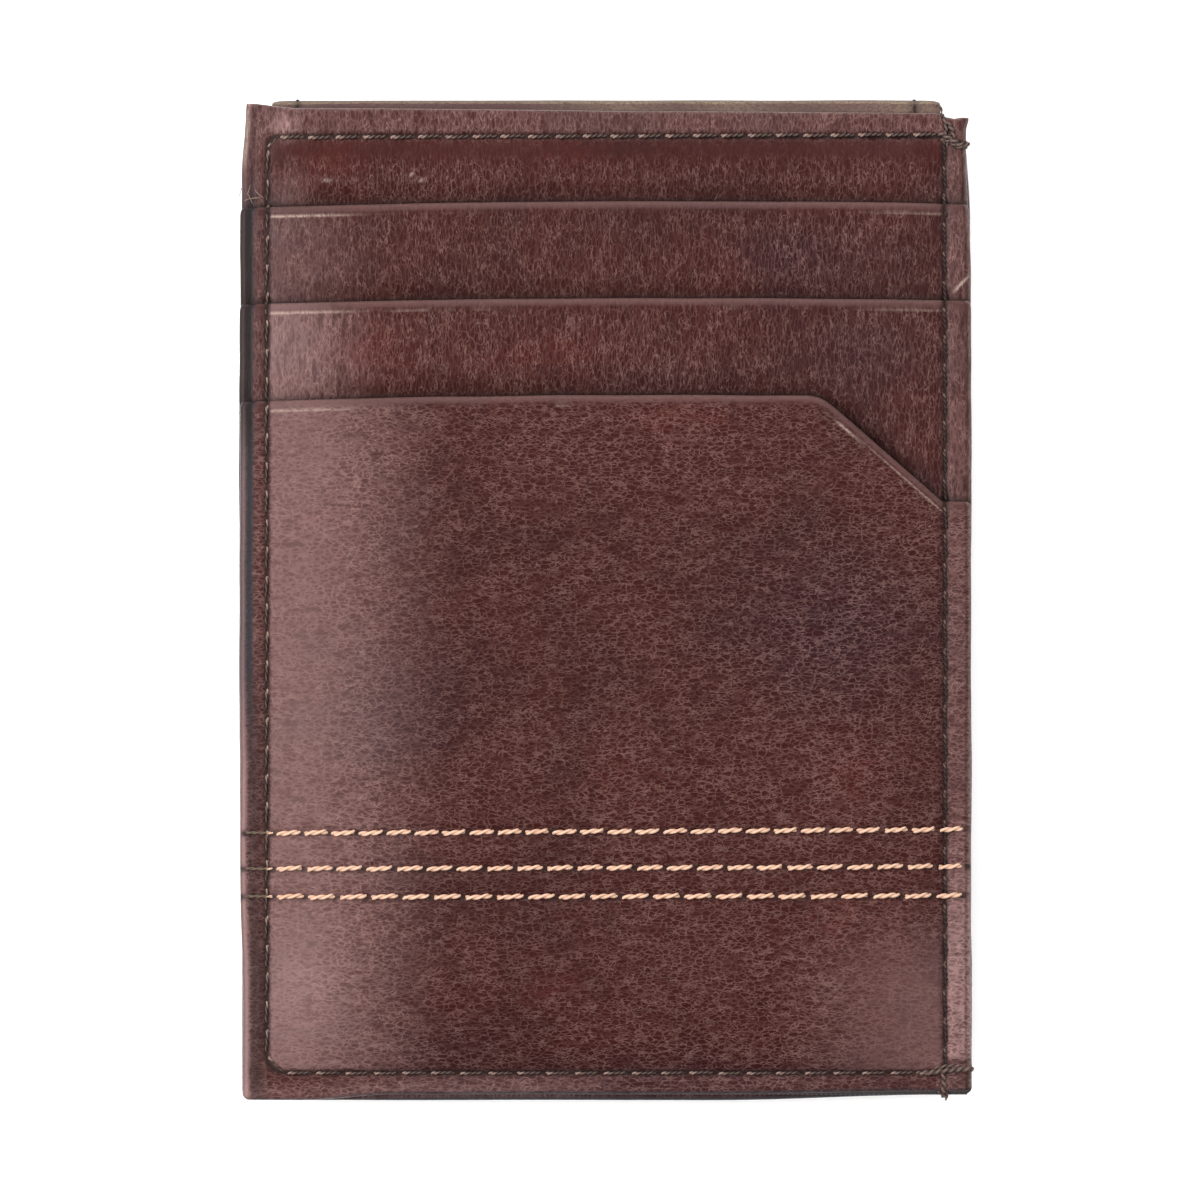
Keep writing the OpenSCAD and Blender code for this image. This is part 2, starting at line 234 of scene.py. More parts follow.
class Nodes:
    """Builds one node material, step by step."""

    def __init__(self, name):
        self.material = bpy.data.materials.new(name)
        self.material.use_nodes = True
        self.tree = self.material.node_tree
        self.shader = self.tree.nodes["Principled BSDF"]

    def add(self, kind, sockets=None, **settings):
        """A node with its settings, and with values or links for its sockets."""
        node = self.tree.nodes.new("ShaderNode" + kind)
        for key, value in settings.items():
            setattr(node, key, value)
        for key, value in (sockets or {}).items():
            self.put(node.inputs[key], value)
        return node

    def put(self, socket, value):
        if isinstance(value, bpy.types.NodeSocket):
            self.tree.links.new(value, socket)
        else:
            socket.default_value = value

    def shade(self, sockets):
        """Sets or links the shader's sockets, and gives the material."""
        for key, value in sockets.items():
            self.put(self.shader.inputs[key], value)
        return self.material

    def math(self, operation, a, b=0.0, clamp=False):
        return self.add("Math", {0: a, 1: b}, operation=operation, use_clamp=clamp).outputs[0]

    def times(self, a, b, clamp=False):
        return self.math("MULTIPLY", a, b, clamp)

    def plus(self, a, b, clamp=False):
        return self.math("ADD", a, b, clamp)

    def minus(self, a, b):
        return self.math("SUBTRACT", a, b)

    def place(self, stretch=(1, 1, 1)):
        """Object coordinates in millimetres, stretched."""
        coords = self.add("TexCoord").outputs["Object"]
        scale = [k / MM for k in stretch]
        return self.add("Mapping", {"Vector": coords, "Scale": scale}).outputs[0]

    def noise(self, place, scale, detail=3.0, rough=0.55, warp=0.0):
        return self.add("TexNoise", {
            "Vector": place, "Scale": scale, "Detail": detail, "Roughness": rough,
            "Distortion": warp,
        }).outputs["Fac"]

    def gaps(self, place, scale):
        """The distance to the gaps between random cells."""
        sockets = {"Vector": place, "Scale": scale}
        return self.add("TexVoronoi", sockets, feature="DISTANCE_TO_EDGE").outputs["Distance"]

    def warped(self, place, scale, amount):
        """The same place, pushed about by noise."""
        hills = self.add("TexNoise", {"Vector": place, "Scale": scale, "Detail": 2.0})
        push = {0: hills.outputs["Color"], 1: (amount, amount, amount), 2: place}
        return self.add("VectorMath", push, operation="MULTIPLY_ADD").outputs[0]

    def span(self, value, low, high, to_low=0.0, to_high=1.0):
        """Value's way from low to high, eased and put between to_low and to_high."""
        return self.add("MapRange", {
            "Value": value, "From Min": low, "From Max": high, "To Min": to_low,
            "To Max": to_high,
        }, interpolation_type="SMOOTHSTEP").outputs["Result"]

    def mix(self, amount, a, b, blend="MIX"):
        a, b = (k if isinstance(k, bpy.types.NodeSocket) else (*k, 1) for k in (a, b))
        sockets = {"Factor": amount, "A": a, "B": b}
        return self.add("Mix", sockets, data_type="RGBA", blend_type=blend).outputs["Result"]

    def mark(self, name):
        return self.add("Attribute", attribute_name=name).outputs["Fac"]

    def bump(self, height, distance):
        """A bump normal, distance deep in mm."""
        return self.add("Bump", {"Height": height, "Distance": distance * MM}).outputs[0]


BROWN = (0.0340, 0.0078, 0.0063)
DARK_BROWN = (0.0225, 0.0053, 0.0048)
RED_BROWN = (0.0500, 0.0084, 0.0052)
PURPLE_BROWN = (0.0170, 0.0062, 0.0080)
# Dye and painted shade in the grain's pits
PIT_DYE_AND_SHADE = (0.0190, 0.0024, 0.0024)
# A painted highlight on the grain's ridges
PAINTED_RIDGE_HIGHLIGHT = (0.185, 0.100, 0.091)
# The colour added as a painted highlight where the leather shines
PAINTED_HIGHLIGHT = (0.215, 0.140, 0.135)
WORN_LEATHER = (0.36, 0.265, 0.225)
# A painted highlight along the bend's top
PAINTED_HIGHLIGHT_TAN = (0.40, 0.315, 0.205)
EDGE_PAINT = (0.0240, 0.0235, 0.0270)
# Colour of dirt and painted shade
DIRT_AND_SHADE = (0.012, 0.008, 0.007)
SOILED = (0.045, 0.036, 0.026)


def leather(name, stretch, grain, relief, net=0.72, wear_and_highlight_colour=WORN_LEATHER):
    """Polished brown leather with a painted highlight and painted shade. stretch shapes its grain,
    whose cells are 1/grain mm wide.

    relief is the grain's depth in mm, net how clear its finest ridges are, and
    wear_and_highlight_colour the colour of places of wear, which on the bend is a painted
    highlight. It reads the marks red, purple, taut, polish,
    worn, edge and grime.
    """
    n = Nodes(name)
    flat = n.place()
    clouds = n.noise(flat, 0.055, 3.0, 0.5, 0.6)
    spots = n.noise(flat, 0.21, 4.0, 0.6, 0.4)
    tone = n.plus(n.times(clouds, 0.6), n.times(spots, 0.4))
    colour = n.mix(n.span(tone, 0.34, 0.62), DARK_BROWN, BROWN)
    red = n.times(n.span(spots, 0.30, 0.70, 0.25, 1.0), n.mark("red"), clamp=True)
    colour = n.mix(n.times(red, 0.75), colour, RED_BROWN)
    colour = n.mix(n.times(n.mark("purple"), 0.85), colour, PURPLE_BROWN)

    # Fine ridges wander between dark pits, and thin out here and there
    gaps = n.gaps(n.warped(n.place(stretch), grain * 0.8, 0.6 / grain), grain)
    drawn = [k**1.5 for k in stretch]
    folds = n.noise(n.warped(n.place(drawn), grain * 0.45, 0.55 / grain), grain * 0.55, 3.0, 0.58)
    creases = n.span(n.math("ABSOLUTE", n.minus(folds, 0.5)), 0.0, 0.030, 1.0, 0.0)
    coarse = n.noise(n.place(stretch), grain * 0.40, 3.0, 0.6)
    ridges = n.times(n.span(gaps, 0.0, 0.10, net, 0.0), n.span(coarse, 0.30, 0.60, 0.25))
    ridges = n.math("MAXIMUM", ridges, n.times(creases, n.span(coarse, 0.30, 0.55, 0.2)))
    fine = n.noise(n.place(stretch), grain * 1.9, 3.0, 0.62)
    pits = n.times(n.span(gaps, 0.06, 0.30), n.span(fine, 0.62, 0.38, 0.25, 0.9))
    pits = n.math("MAXIMUM", pits, n.span(folds, 0.46, 0.32))
    taut = n.mark("taut")
    depth = n.times(n.span(taut, 0.0, 1.0, 1.0, 0.15), n.span(clouds, 0.3, 0.7, 0.75, 1.1))
    height = n.minus(n.times(ridges, 0.55), n.times(pits, 0.60))
    height = n.times(n.plus(height, n.times(fine, 0.30)), depth)

    # Pits are darker, from dye and painted shade, and ridges paler with a painted highlight, and
    # where the leather is pulled taut both fade
    shade = n.plus(n.times(n.times(pits, depth), 0.64), n.times(taut, 0.14))
    grey = n.add("CombineColor")
    tone = n.plus(n.times(fine, 0.50), 0.72)
    for socket in grey.inputs[:3]:
        n.put(socket, tone)
    colour = n.mix(shade, n.mix(1.0, colour, grey.outputs[0], "MULTIPLY"), PIT_DYE_AND_SHADE)
    crests = n.times(n.times(ridges, depth), 0.46)
    colour = n.mix(crests, colour, PAINTED_RIDGE_HIGHLIGHT)

    # A painted highlight, with a little less roughness, where the leather shines; then wear, which
    # on the bend is a painted highlight; edge paint; and dirt with painted shade, in that order
    polish = n.mark("polish")
    painted_highlight_grain = n.minus(n.times(crests, 0.20), n.times(shade, 0.30))
    colour = n.mix(n.times(polish, n.plus(0.30, painted_highlight_grain)), colour, PAINTED_HIGHLIGHT, "ADD")
    wear_and_highlight = n.times(n.mark("worn"), n.span(fine, 0.34, 0.60, 0.30, 1.0), clamp=True)
    colour = n.mix(wear_and_highlight, colour, wear_and_highlight_colour)
    edge = n.mark("edge")
    colour = n.mix(edge, colour, EDGE_PAINT)
    colour = n.mix(n.mark("grime"), colour, DIRT_AND_SHADE)

    rough = n.span(n.plus(spots, n.times(fine, 0.3)), 0.4, 0.9, 0.30, 0.38)
    rough = n.minus(n.minus(rough, n.times(polish, 0.06)), n.times(edge, 0.03))
    rough = n.plus(rough, n.times(wear_and_highlight, 0.15), clamp=True)
    return n.shade({
        "Base Color": colour, "Roughness": rough, "Specular IOR Level": 0.045,
        "Normal": n.bump(height, relief),
    })


def thread(name, light, dark, relief):
    """Waxed sewing thread, with a painted highlight on the tops of its plies and painted shade
    between them.
    """
    n = Nodes(name)
    fibres = n.noise(n.place(), 9.0, 3.0, 0.6)
    stains = n.noise(n.place(), 0.5, 2.0)
    top = n.times(n.span(n.mark("crest"), 0.30, 0.95), n.span(fibres, 0.2, 0.6, 0.6, 1.0))
    colour = n.mix(top, dark, light)
    colour = n.mix(n.span(stains, 0.50, 0.80, 0.0, 0.35), colour, dark)
    colour = n.mix(n.mark("soil"), colour, SOILED)
    return n.shade({
        "Base Color": colour, "Roughness": 0.62, "Specular IOR Level": 0.15,
        "Normal": n.bump(fibres, relief),
    })


def cloth(name, colour, weave_mm):
    """Plain-woven lining."""
    n = Nodes(name)
    parts = n.add("SeparateXYZ", {0: n.place()})
    turn = 2 * math.pi / weave_mm
    weave = n.times(*(n.math("SINE", n.times(parts.outputs[axis], turn)) for axis in ("X", "Y")))
    light = tuple(1.7 * c for c in colour)
    return n.shade({
        "Base Color": n.mix(n.span(weave, -1.0, 1.0), colour, light), "Roughness": 0.85,
        "Sheen Weight": 0.3, "Normal": n.bump(weave, 0.05),
    })


def raw_leather(name, colour):
    """The suede-like inner side of leather, and its turned-in edges."""
    n = Nodes(name)
    fibres = n.noise(n.warped(n.place(), 1.2, 0.6), 3.5, 5.0, 0.65)
    patches = n.noise(n.place(), 0.2, 3.0)
    darker = tuple(0.55 * c for c in colour)
    tone = n.plus(n.times(fibres, 0.6), n.times(patches, 0.4))
    return n.shade({
        "Base Color": n.mix(n.span(tone, 0.32, 0.66), darker, colour), "Roughness": 0.8,
        "Normal": n.bump(fibres, 0.06),
    })


def plated(name):
    """Nickel plate on a magnet, with fine tumbling marks."""
    n = Nodes(name)
    marks = n.noise(n.place((1, 6, 1)), 1.5, 4.0, 0.6)
    return n.shade({
        "Base Color": (0.62, 0.61, 0.58, 1), "Metallic": 1.0,
        "Roughness": n.span(marks, 0.3, 0.7, 0.22, 0.38), "Normal": n.bump(marks, 0.01),
    })


# Grain runs up the wallet on the panel and the two rear pockets, and across the front pocket
UPRIGHT_GRAIN = leather("leather_upright_grain", (1.30, 0.52, 1), 1.85, 0.050, net=0.45)
PEBBLE_GRAIN = leather("leather_pebble_grain", (0.66, 1.30, 1), 1.80, 0.055)
BACK_GRAIN = leather("leather_back_grain", (0.9, 1.2, 1), 1.7, 0.050)
# On the bend, the colour of wear is a painted tan highlight along its top
FOLD_GRAIN = leather("leather_fold_grain", (0.9, 1.2, 1), 1.7, 0.050, wear_and_highlight_colour=PAINTED_HIGHLIGHT_TAN)
INSIDE = raw_leather("leather_inside", (0.150, 0.082, 0.056))
BOARD = raw_leather("stiffener_board", (0.36, 0.25, 0.16))
LINING = cloth("lining_cloth", (0.016, 0.012, 0.012), 0.5)
BROWN_THREAD = thread("brown_thread", (0.235, 0.158, 0.132), (0.014, 0.007, 0.006), 0.03)
CREAM_THREAD = thread("cream_thread", (0.53, 0.345, 0.250), (0.30, 0.150, 0.092), 0.02)
MAGNET = plated("magnet_plating")
THREADS = {"brown_thread": BROWN_THREAD, "cream_thread": CREAM_THREAD}

# ---------------------------------------------------------------- shapes of the front

# Reddish and purplish clouds in the dye: place, size and strength of each
RED_CLOUDS = [
    (-30, 45, 4, 3, 1.0), (-4, 46, 6, 3, 0.6), (12, 35, 4, 3, 0.9), (-24, 27, 5, 4, 1.0),
    (-8, 26, 8, 3, 0.9), (8, 19, 5, 2, 0.9), (2, -19, 4, 3, 0.9), (26, -18, 4, 4, 0.9),
    (24, -34, 5, 4, 0.9), (-6, -40, 9, 5, 0.35), (-27, 5, 5, 7, 0.4), (30, 41, 3, 3, 0.3),
]
PURPLE_CLOUDS = [
    (24, -3, 11, 9, 1.0), (-22, -12, 7, 7, 0.5), (20, 36, 9, 4, 0.7), (10, -50, 20, 3, 0.6),
    (-18, -48, 9, 4, 0.4), (5, 23, 10, 2, 0.5), (28, 26, 8, 4, 0.5), (-35, 38, 3, 3, 0.4),
]


def clouds(x, y, spots):
    """How strong a dye's clouds are at a place, 0 to 1."""
    total = 0 * x
    for cx, cy, rx, ry, strength in spots:
        total = total + strength * np.exp(-(((x - cx) / rx) ** 2 + ((y - cy) / ry) ** 2))
    return np.clip(total, 0, 1)


def mouth_line(leaf, x):
    """The top edge of a leaf of the front: 0 is the front panel, 3 the front pocket."""
    mouth = MOUTH[leaf]
    if leaf == 0:
        # It falls to the right, where the corner's thread pulls in a notch
        fall = -0.30 - 0.0085 * (x + HALF_W) + 0.45 * smooth((-x - HALF_W + 6) / 5)
        notch = -0.40 * smooth((x - SEAM_X + 0.9) / 1.2) - 0.14 * bell(x - SEAM_X - 1.1, 0.5)
        return mouth + 0.2 + fall + notch + 0.05 * noise(x, 0 * x, 9, 1, 31)
    # The pockets' edges bow up a little in the middle
    bow = 0.55 * (1 - ((x - 8) / 42) ** 2) - 0.35
    line = mouth + bow + 0.05 * noise(x, 0 * x, 7, 1, 40 + leaf)
    if leaf == 3:
        slope = SLANT_DROP / (SLANT_END - SLANT_START)
        slant = (x - SLANT_START) * slope
        eased = 0.45 * np.logaddexp(0, slant / 0.45)
        line = line - np.minimum(eased, SLANT_DROP)
    return line


def bottom_line(leaf, x):
    """The bottom edge of a leaf, which rises to the right and has small round corners."""
    low = BOTTOM - 0.10 + 0.06 * noise(x, 0 * x, 12, 1, 50 + leaf)
    if leaf == 3:
        low = low + 0.14 + 0.62 * smooth((x + 32) / 10) + 0.22 * smooth((x - 10) / 25)
    else:
        low = low + 0.08 + 0.62 * smooth((x - 10) / 30)
    corner = 0.8
    near = np.clip(corner - (HALF_W - np.abs(x)), 0, corner)
    return low + corner - np.sqrt(corner**2 - near**2 * 0.98)


def side_line(leaf, y, side):
    """The x of a leaf's left (-1) or right (1) edge."""
    wobble = 0.09 * noise(y, 0 * y, 11, 1, 60 + leaf * 2 + side) + 0.03 * noise(y, 0 * y, 3, 1, 68)
    inset = [0.10, 0.06, 0.02, 0.10][leaf]
    corner = 0.9
    top = mouth_line(leaf, np.array([side * HALF_W]))[0]
    near = np.clip(corner - (top - y), 0, corner)
    rounding = (0.15 if leaf == 0 else 0.5) * (corner - np.sqrt(corner**2 - near**2 * 0.98))
    # The right side comes in near the top, and the left side at both ends
    if side > 0:
        inset = inset + 0.42 * smooth((y - 34) / 14) * (1 - 0.8 * smooth((y - 49.3) / 1.4)) + 0.10
        return HALF_W - inset - rounding + wobble
    inset = inset + 0.25 * smooth((-y - 20) / 25) + 0.5 * smooth((y - 44) / 8)
    return -HALF_W + inset + rounding + wobble


def shown(leaf, x, y):
    """1 where a leaf isn't covered by the next one, and 0 well below that one's edge."""
    if leaf == 3:
        return 1 + 0 * x
    return smooth((y - mouth_line(leaf + 1, x) + 1.4) / 4.4)


def puff(leaf, x, y):
    """How far a leaf swells above its flat place between its seams."""
    from_left, from_right = x + SEAM_X, SEAM_X - x
    swell = [0.60, 0.65, 0.70, 1.80][leaf]
    left_reach, right_reach = (23, 13) if leaf == 3 else (8, 7)
    left = 1 - np.clip(1 - from_left / left_reach, 0, 1) ** 2
    right = 1 - np.clip(1 - from_right / right_reach, 0, 1) ** 2
    lower = 1 - np.clip(1 - (y - SEAM_BOTTOM) / 10, 0, 1) ** 2
    upper = 0.62 + 0.38 * smooth((MOUTH[leaf] - y) / 12)
    if leaf == 0:
        upper = 1 - np.clip(1 - (SEAM_TOP - y) / 4.5, 0, 1) ** 2
    inside = smooth(from_left / 0.9) * smooth(from_right / 0.9)
    return swell * left * right * lower * upper * inside * shown(leaf, x, y)


# The seam's rounded left corners, at the foot and the head, and the length of one stitch
FOOT_TURN, HEAD_TURN = 1.9, 1.2
PITCH = 3.0


def from_seam(x, y):
    """The distance outwards from the seam round the front, whose left corners are rounded."""
    middle, half = (SEAM_TOP + SEAM_BOTTOM) / 2, (SEAM_TOP - SEAM_BOTTOM) / 2
    r = np.where(x < 0, np.where(y < middle, FOOT_TURN, HEAD_TURN), 0.3)
    qx, qy = np.abs(x) - SEAM_X + r, np.abs(y - middle) - half + r
    outside = np.hypot(np.maximum(qx, 0), np.maximum(qy, 0))
    return outside + np.minimum(np.maximum(qx, qy), 0) - r


def seam_valley(x, y):
    """The dips that the seams pull into the leather, deeper between stitches."""
    gather = 0.75 + 0.25 * np.cos(2 * math.pi * (x + y - SEAM_BOTTOM) / PITCH)
    return 0.30 * bell(from_seam(x, y), 0.43) * gather


def left_roll(x, edge):
    """The rolled left rim: a ridge along the edge, a groove beside it, and then the margin."""
    d = x - edge
    return 0.07 * bell(d - 0.50, 0.34) - 0.09 * bell(d - 1.20, 0.38)


CREAM_TILT = 0.0055
CREAM_PITCH = (2.94, 3.18, 3.29)
CREAM_START = CREAM_BOXES[0][0][0]


def hole_at(along, pitch):
    """1 at each needle hole of a row, and 0 between them."""
    return bell((along / pitch + 0.57) % 1 - 0.5, 0.12)


def cream_line(row, x):
    """The middle of a cream row, which climbs to the right, the upper rows more than the lower."""
    return CREAM_Y[row] - 0.05 + CREAM_TILT * x * (1 - 0.35 * row)


def cream_valley(x, y):
    """The dips that the cream rows pull into the front pocket."""
    dip = 0 * x
    for row, (depth, width) in enumerate(((0.24, 0.62), (0.20, 0.55), (0.24, 0.62))):
        gather = 0.80 + 0.20 * np.cos(2 * math.pi * (x - CREAM_START) / CREAM_PITCH[row])
        dip = np.maximum(dip, depth * gather * bell(y - cream_line(row, x), width))
    return dip * smooth((HALF_W - np.abs(x)) / 1.5)


def leaf_height(leaf, x, y):
    """The leather's upper surface, before its edges are rounded."""
    z = LEAF_TOP[leaf] + puff(leaf, x, y) - seam_valley(x, y)
    margin = smooth((np.abs(x) - SEAM_X) / 0.6)
    z = z - 0.10 * smooth((x - SEAM_X) / 0.6) * ((x - SEAM_X - 1.3) / 1.2) ** 2
    z = z + left_roll(x, side_line(leaf, y, -1))
    if leaf == 0:
        z = z - 0.22 * smooth((y - SEAM_TOP - 0.4) / 2.6)
    shows = shown(leaf, x, y)
    calm = (1 - 0.8 * margin) * shows
    z = z + 0.05 * calm * noise(x, y, 9, 7, 70 + leaf)
    z = z + 0.020 * shows * noise(x, y, 3.1, 2.7, 80 + leaf)
    if leaf == 3:
        z = z - cream_valley(x, y)
        streaks = noise(x + 0.6 * y, y, 11, 1.7, 90) * smooth((30 - x - SEAM_X) / 30)
        z = z + 0.035 * streaks * smooth((y + 20) / 12) * (1 - margin)
    if leaf > 0:
        below = mouth_line(leaf, x) - y
        z = z - 0.08 * bell(below - 1.08, 0.15) * smooth((SEAM_X - np.abs(x)) / 0.5)
        z = z + 0.04 * smooth((1.1 - below) / 0.9)
    return z


# Scratches: the leaf they are on, their strength, their two ends and their width
SCRATCHES = [
    (0, 0.6, -20.6, 44.9, -20.1, 43.8, 0.06), (0, 0.5, -20.1, 43.8, -18.9, 44.1, 0.06),
    (0, 0.5, -29.8, 44.0, -28.9, 44.05, 0.06), (1, 0.9, 36.6, 32.4, 38.1, 33.9, 0.13),
]


def nick(x, y, x0, y0, x1, y1, width):
    """A scratch between two points."""
    ax, ay = x1 - x0, y1 - y0
    t = np.clip(((x - x0) * ax + (y - y0) * ay) / (ax * ax + ay * ay), 0, 1)
    return bell(np.hypot(x - x0 - t * ax, y - y0 - t * ay), width)


def leaf_place(leaf, x, y):
    """How far a place lies below the mouth, outside the seam, and from both side edges."""
    from_left, from_right = x - side_line(leaf, y, -1), x - side_line(leaf, y, 1)
    return mouth_line(leaf, x) - y, from_seam(x, y), from_left, from_right


def leaf_wear(leaf, x, y):
    """Where the brown wears off: creases under the pocket edges, rims and scratches."""
    below, outside, from_left, from_right = leaf_place(leaf, x, y)
    breaks = smooth((noise(x, y, 1.3, 9, 100 + leaf) + 0.2) / 0.7)
    ends = 0.9 * smooth((-x - 24) / 7) + 0.55 * smooth((x - 25) / 6)
    middle = smooth((noise(x, 0 * y, 9, 40, 110 + leaf) - 0.05) / 0.5)
    crease = np.maximum(ends, 0.55 * middle * breaks) * smooth(-outside / 0.6)
    worn = bell(below - 1.04, 0.13) * crease * (0.8 if leaf > 0 else 0)
    worn = worn + 0.10 * bell(below, 0.20) + 0.20 * bell(from_right + 0.18, 0.12)
    for on, strength, *line in SCRATCHES:
        if on == leaf:
            worn = worn + strength * nick(x, y, *line)
    if leaf == 0:
        worn = worn + 0.45 * bell(from_left - 0.30, 0.22) * smooth((y - 44) / 3)
    if leaf == 3:
        slanting = smooth((x - SLANT_START) / 0.6) * smooth((SLANT_START + 5 - x) / 3)
        worn = worn + 0.8 * slanting * bell(below * 0.77 - 1.0, 0.13) * breaks
    return np.clip(worn, 0, 1)


def leaf_paint(leaf, x, y):
    """The dark paint on the left edge, fading downwards, and along the bottom edge."""
    _, _, from_left, _ = leaf_place(leaf, x, y)
    high = 1 - 0.85 * smooth((-y - 4) / 18)
    # The paint thins along the rim, so that the painted rim highlight shows through
    paint = smooth((1.58 - from_left) / 0.35) * high * (1 - 0.60 * bell(from_left - 0.35, 0.30))
    paint = paint * (0.97 if leaf > 0 else 0.15 + 0.6 * smooth((45 - y) / 4))
    foot = (0.95 if leaf < 3 else 0.6) * smooth((0.55 - y + bottom_line(leaf, x)) / 0.4)
    return np.clip(np.maximum(paint, foot * (0.35 + 0.65 * smooth((x + 34) / 16))), 0, 1)


def leaf_dirt_and_shade(leaf, x, y):
    """Dirt and painted shade in the seam, in the margins, under pocket edges and round needle
    holes.
    """
    _, outside, from_left, from_right = leaf_place(leaf, x, y)
    # Painted shade in the seam and in its needle holes
    slits = 0.35 + 0.65 * hole_at(x + y - SEAM_TOP + 1.2, PITCH)
    grime = 0.85 * bell(outside, 0.27) + 0.55 * bell(outside + 0.24, 0.16) * slits
    grime = grime + 0.55 * bell(from_right + 0.50, 0.11)
    grime = grime + 0.50 * bell(from_left - 1.60, 0.75) * smooth((-y - 2) / 12)
    patches = smooth((noise(x, y, 3, 4, 130 + leaf) + 0.1) / 0.6) * smooth((y - 5) / 20)
    soiled = smooth((-y - 48.0) / 0.6) + 0.5 * patches
    grime = grime + 0.25 * smooth((x - SEAM_X - 0.3) / 0.3) * soiled
    if leaf > 0:
        # Painted shade along the upper left rim
        grime = grime + 0.66 * smooth((1.5 - from_left) / 0.3) * smooth((y - 12) / 8)
    if leaf < 3:
        # A painted shadow just above the next pocket's edge
        over = y - mouth_line(leaf + 1, x)
        grime = grime + 0.50 * bell(over - 0.05, 0.30) + 0.22 * bell(over, 1.6)
    else:
        # Painted shade along the cream rows and in their needle holes
        for row, pitch in enumerate(CREAM_PITCH):
            line = bell(y - cream_line(row, x) + 0.05, 0.30)
            grime = grime + (0.22 + 1.0 * hole_at(x - CREAM_START, pitch)) * line
    return np.clip(grime, 0, 0.88)


def leaf_taut(leaf, x, y):
    """Where the leather is pulled smooth: its left and lower right, its mouth and its rim."""
    below, outside, from_left, _ = leaf_place(leaf, x, y)
    inner = smooth(-outside / 0.6)
    taut = 0.55 * smooth((-x - 22) / 10) if leaf == 3 else 0.25 * smooth((-x - 26) / 8)
    taut = np.maximum(taut, 0.6 * smooth((x - 20) / 10) * smooth((-y - 30) / 10))
    taut = np.maximum(taut * inner, 0.95 * bell(below - 0.3, 0.75) * (leaf > 0))
    taut = np.maximum(taut, 0.9 * smooth((0.9 - from_left) / 0.4))
    if leaf == 0:
        taut = np.maximum(taut, 0.9 * bell(y - SEAM_TOP + 1.5, 1.3) * inner)
    return np.clip(taut, 0, 1)


def leaf_gloss_and_painted_highlight(leaf, x, y):
    """Where the leather gets a painted highlight and a little less roughness, above all on the
    swell along its left side.
    """
    below, outside, from_left, _ = leaf_place(leaf, x, y)
    inner = smooth(-outside / 0.6)
    if leaf == 3:
        polish = 1.15 * smooth((-x - 15) / 18)
        polish = polish + 0.6 * bell(np.hypot(x + 32, (y + 41) * 0.7), 4.5)
    else:
        polish = smooth((-x - 22) / 13) * (0.0, 0.55, 1.40)[leaf]
    polish = np.maximum(polish, smooth((x - 16) / 18) * (0.06 + 0.75 * smooth((-y - 30) / 12)))
    polish = np.maximum(polish, smooth((1.0 - below) / 0.6) * 0.7 * (leaf > 0))
    lower_right = smooth((-y - 22) / 15) * smooth((x - SEAM_X) / 0.3) * smooth((y + 48.4) / 0.5)
    margin = 0.12 + 0.22 * (x < -SEAM_X) + 0.38 * (x > SEAM_X) + 1.2 * lower_right
    polish = polish * inner + (1 - inner) * margin
    # A painted highlight along the rolled left rim, stronger lower down
    rim = 0.5 + 1.0 * smooth((30 - y) / 14) + 0.8 * smooth((-y - 3) / 15)
    polish = polish + bell(from_left - 0.42, 0.36) * rim
    foot = smooth((bottom_line(leaf, x) - y + 2.2) / 1.5)
    polish = polish + 0.5 * (1 - inner) * foot * smooth((3 - x) / 10)
    if leaf == 0:
        polish = np.maximum(polish, 0.45 * smooth((y - SEAM_TOP) / 0.5))
        polish = polish + 0.6 * bell(np.hypot(x + 33.2, (y - 42.6) * 0.8), 1.8)
        polish = polish + 1.3 * bell(np.hypot(x + 34.0, (y - 49.6) * 1.1), 1.6)
    return polish


def leaf_marks(leaf):
    """The point values that the leather's material reads, for one leaf."""

    def marks(x, y):
        return {
            "red": clouds(x, y, RED_CLOUDS), "purple": clouds(x, y, PURPLE_CLOUDS),
            "worn": leaf_wear(leaf, x, y), "edge": leaf_paint(leaf, x, y),
            "grime": leaf_dirt_and_shade(leaf, x, y), "taut": leaf_taut(leaf, x, y),
            "polish": leaf_gloss_and_painted_highlight(leaf, x, y),
        }

    return marks


# How far the leather is turned in along its edges
TURN_WIDTH = 5.0


def turned(x, y, y_top, deep, top_deep):
    """How much thicker a leaf is where its edges are turned in."""
    sides = np.maximum(np.abs(x) - HALF_W + TURN_WIDTH, BOTTOM + TURN_WIDTH - y)
    top = y - y_top + TURN_WIDTH
    return np.maximum(deep * smooth(sides / 1.2), top_deep * smooth(top / 1.2))


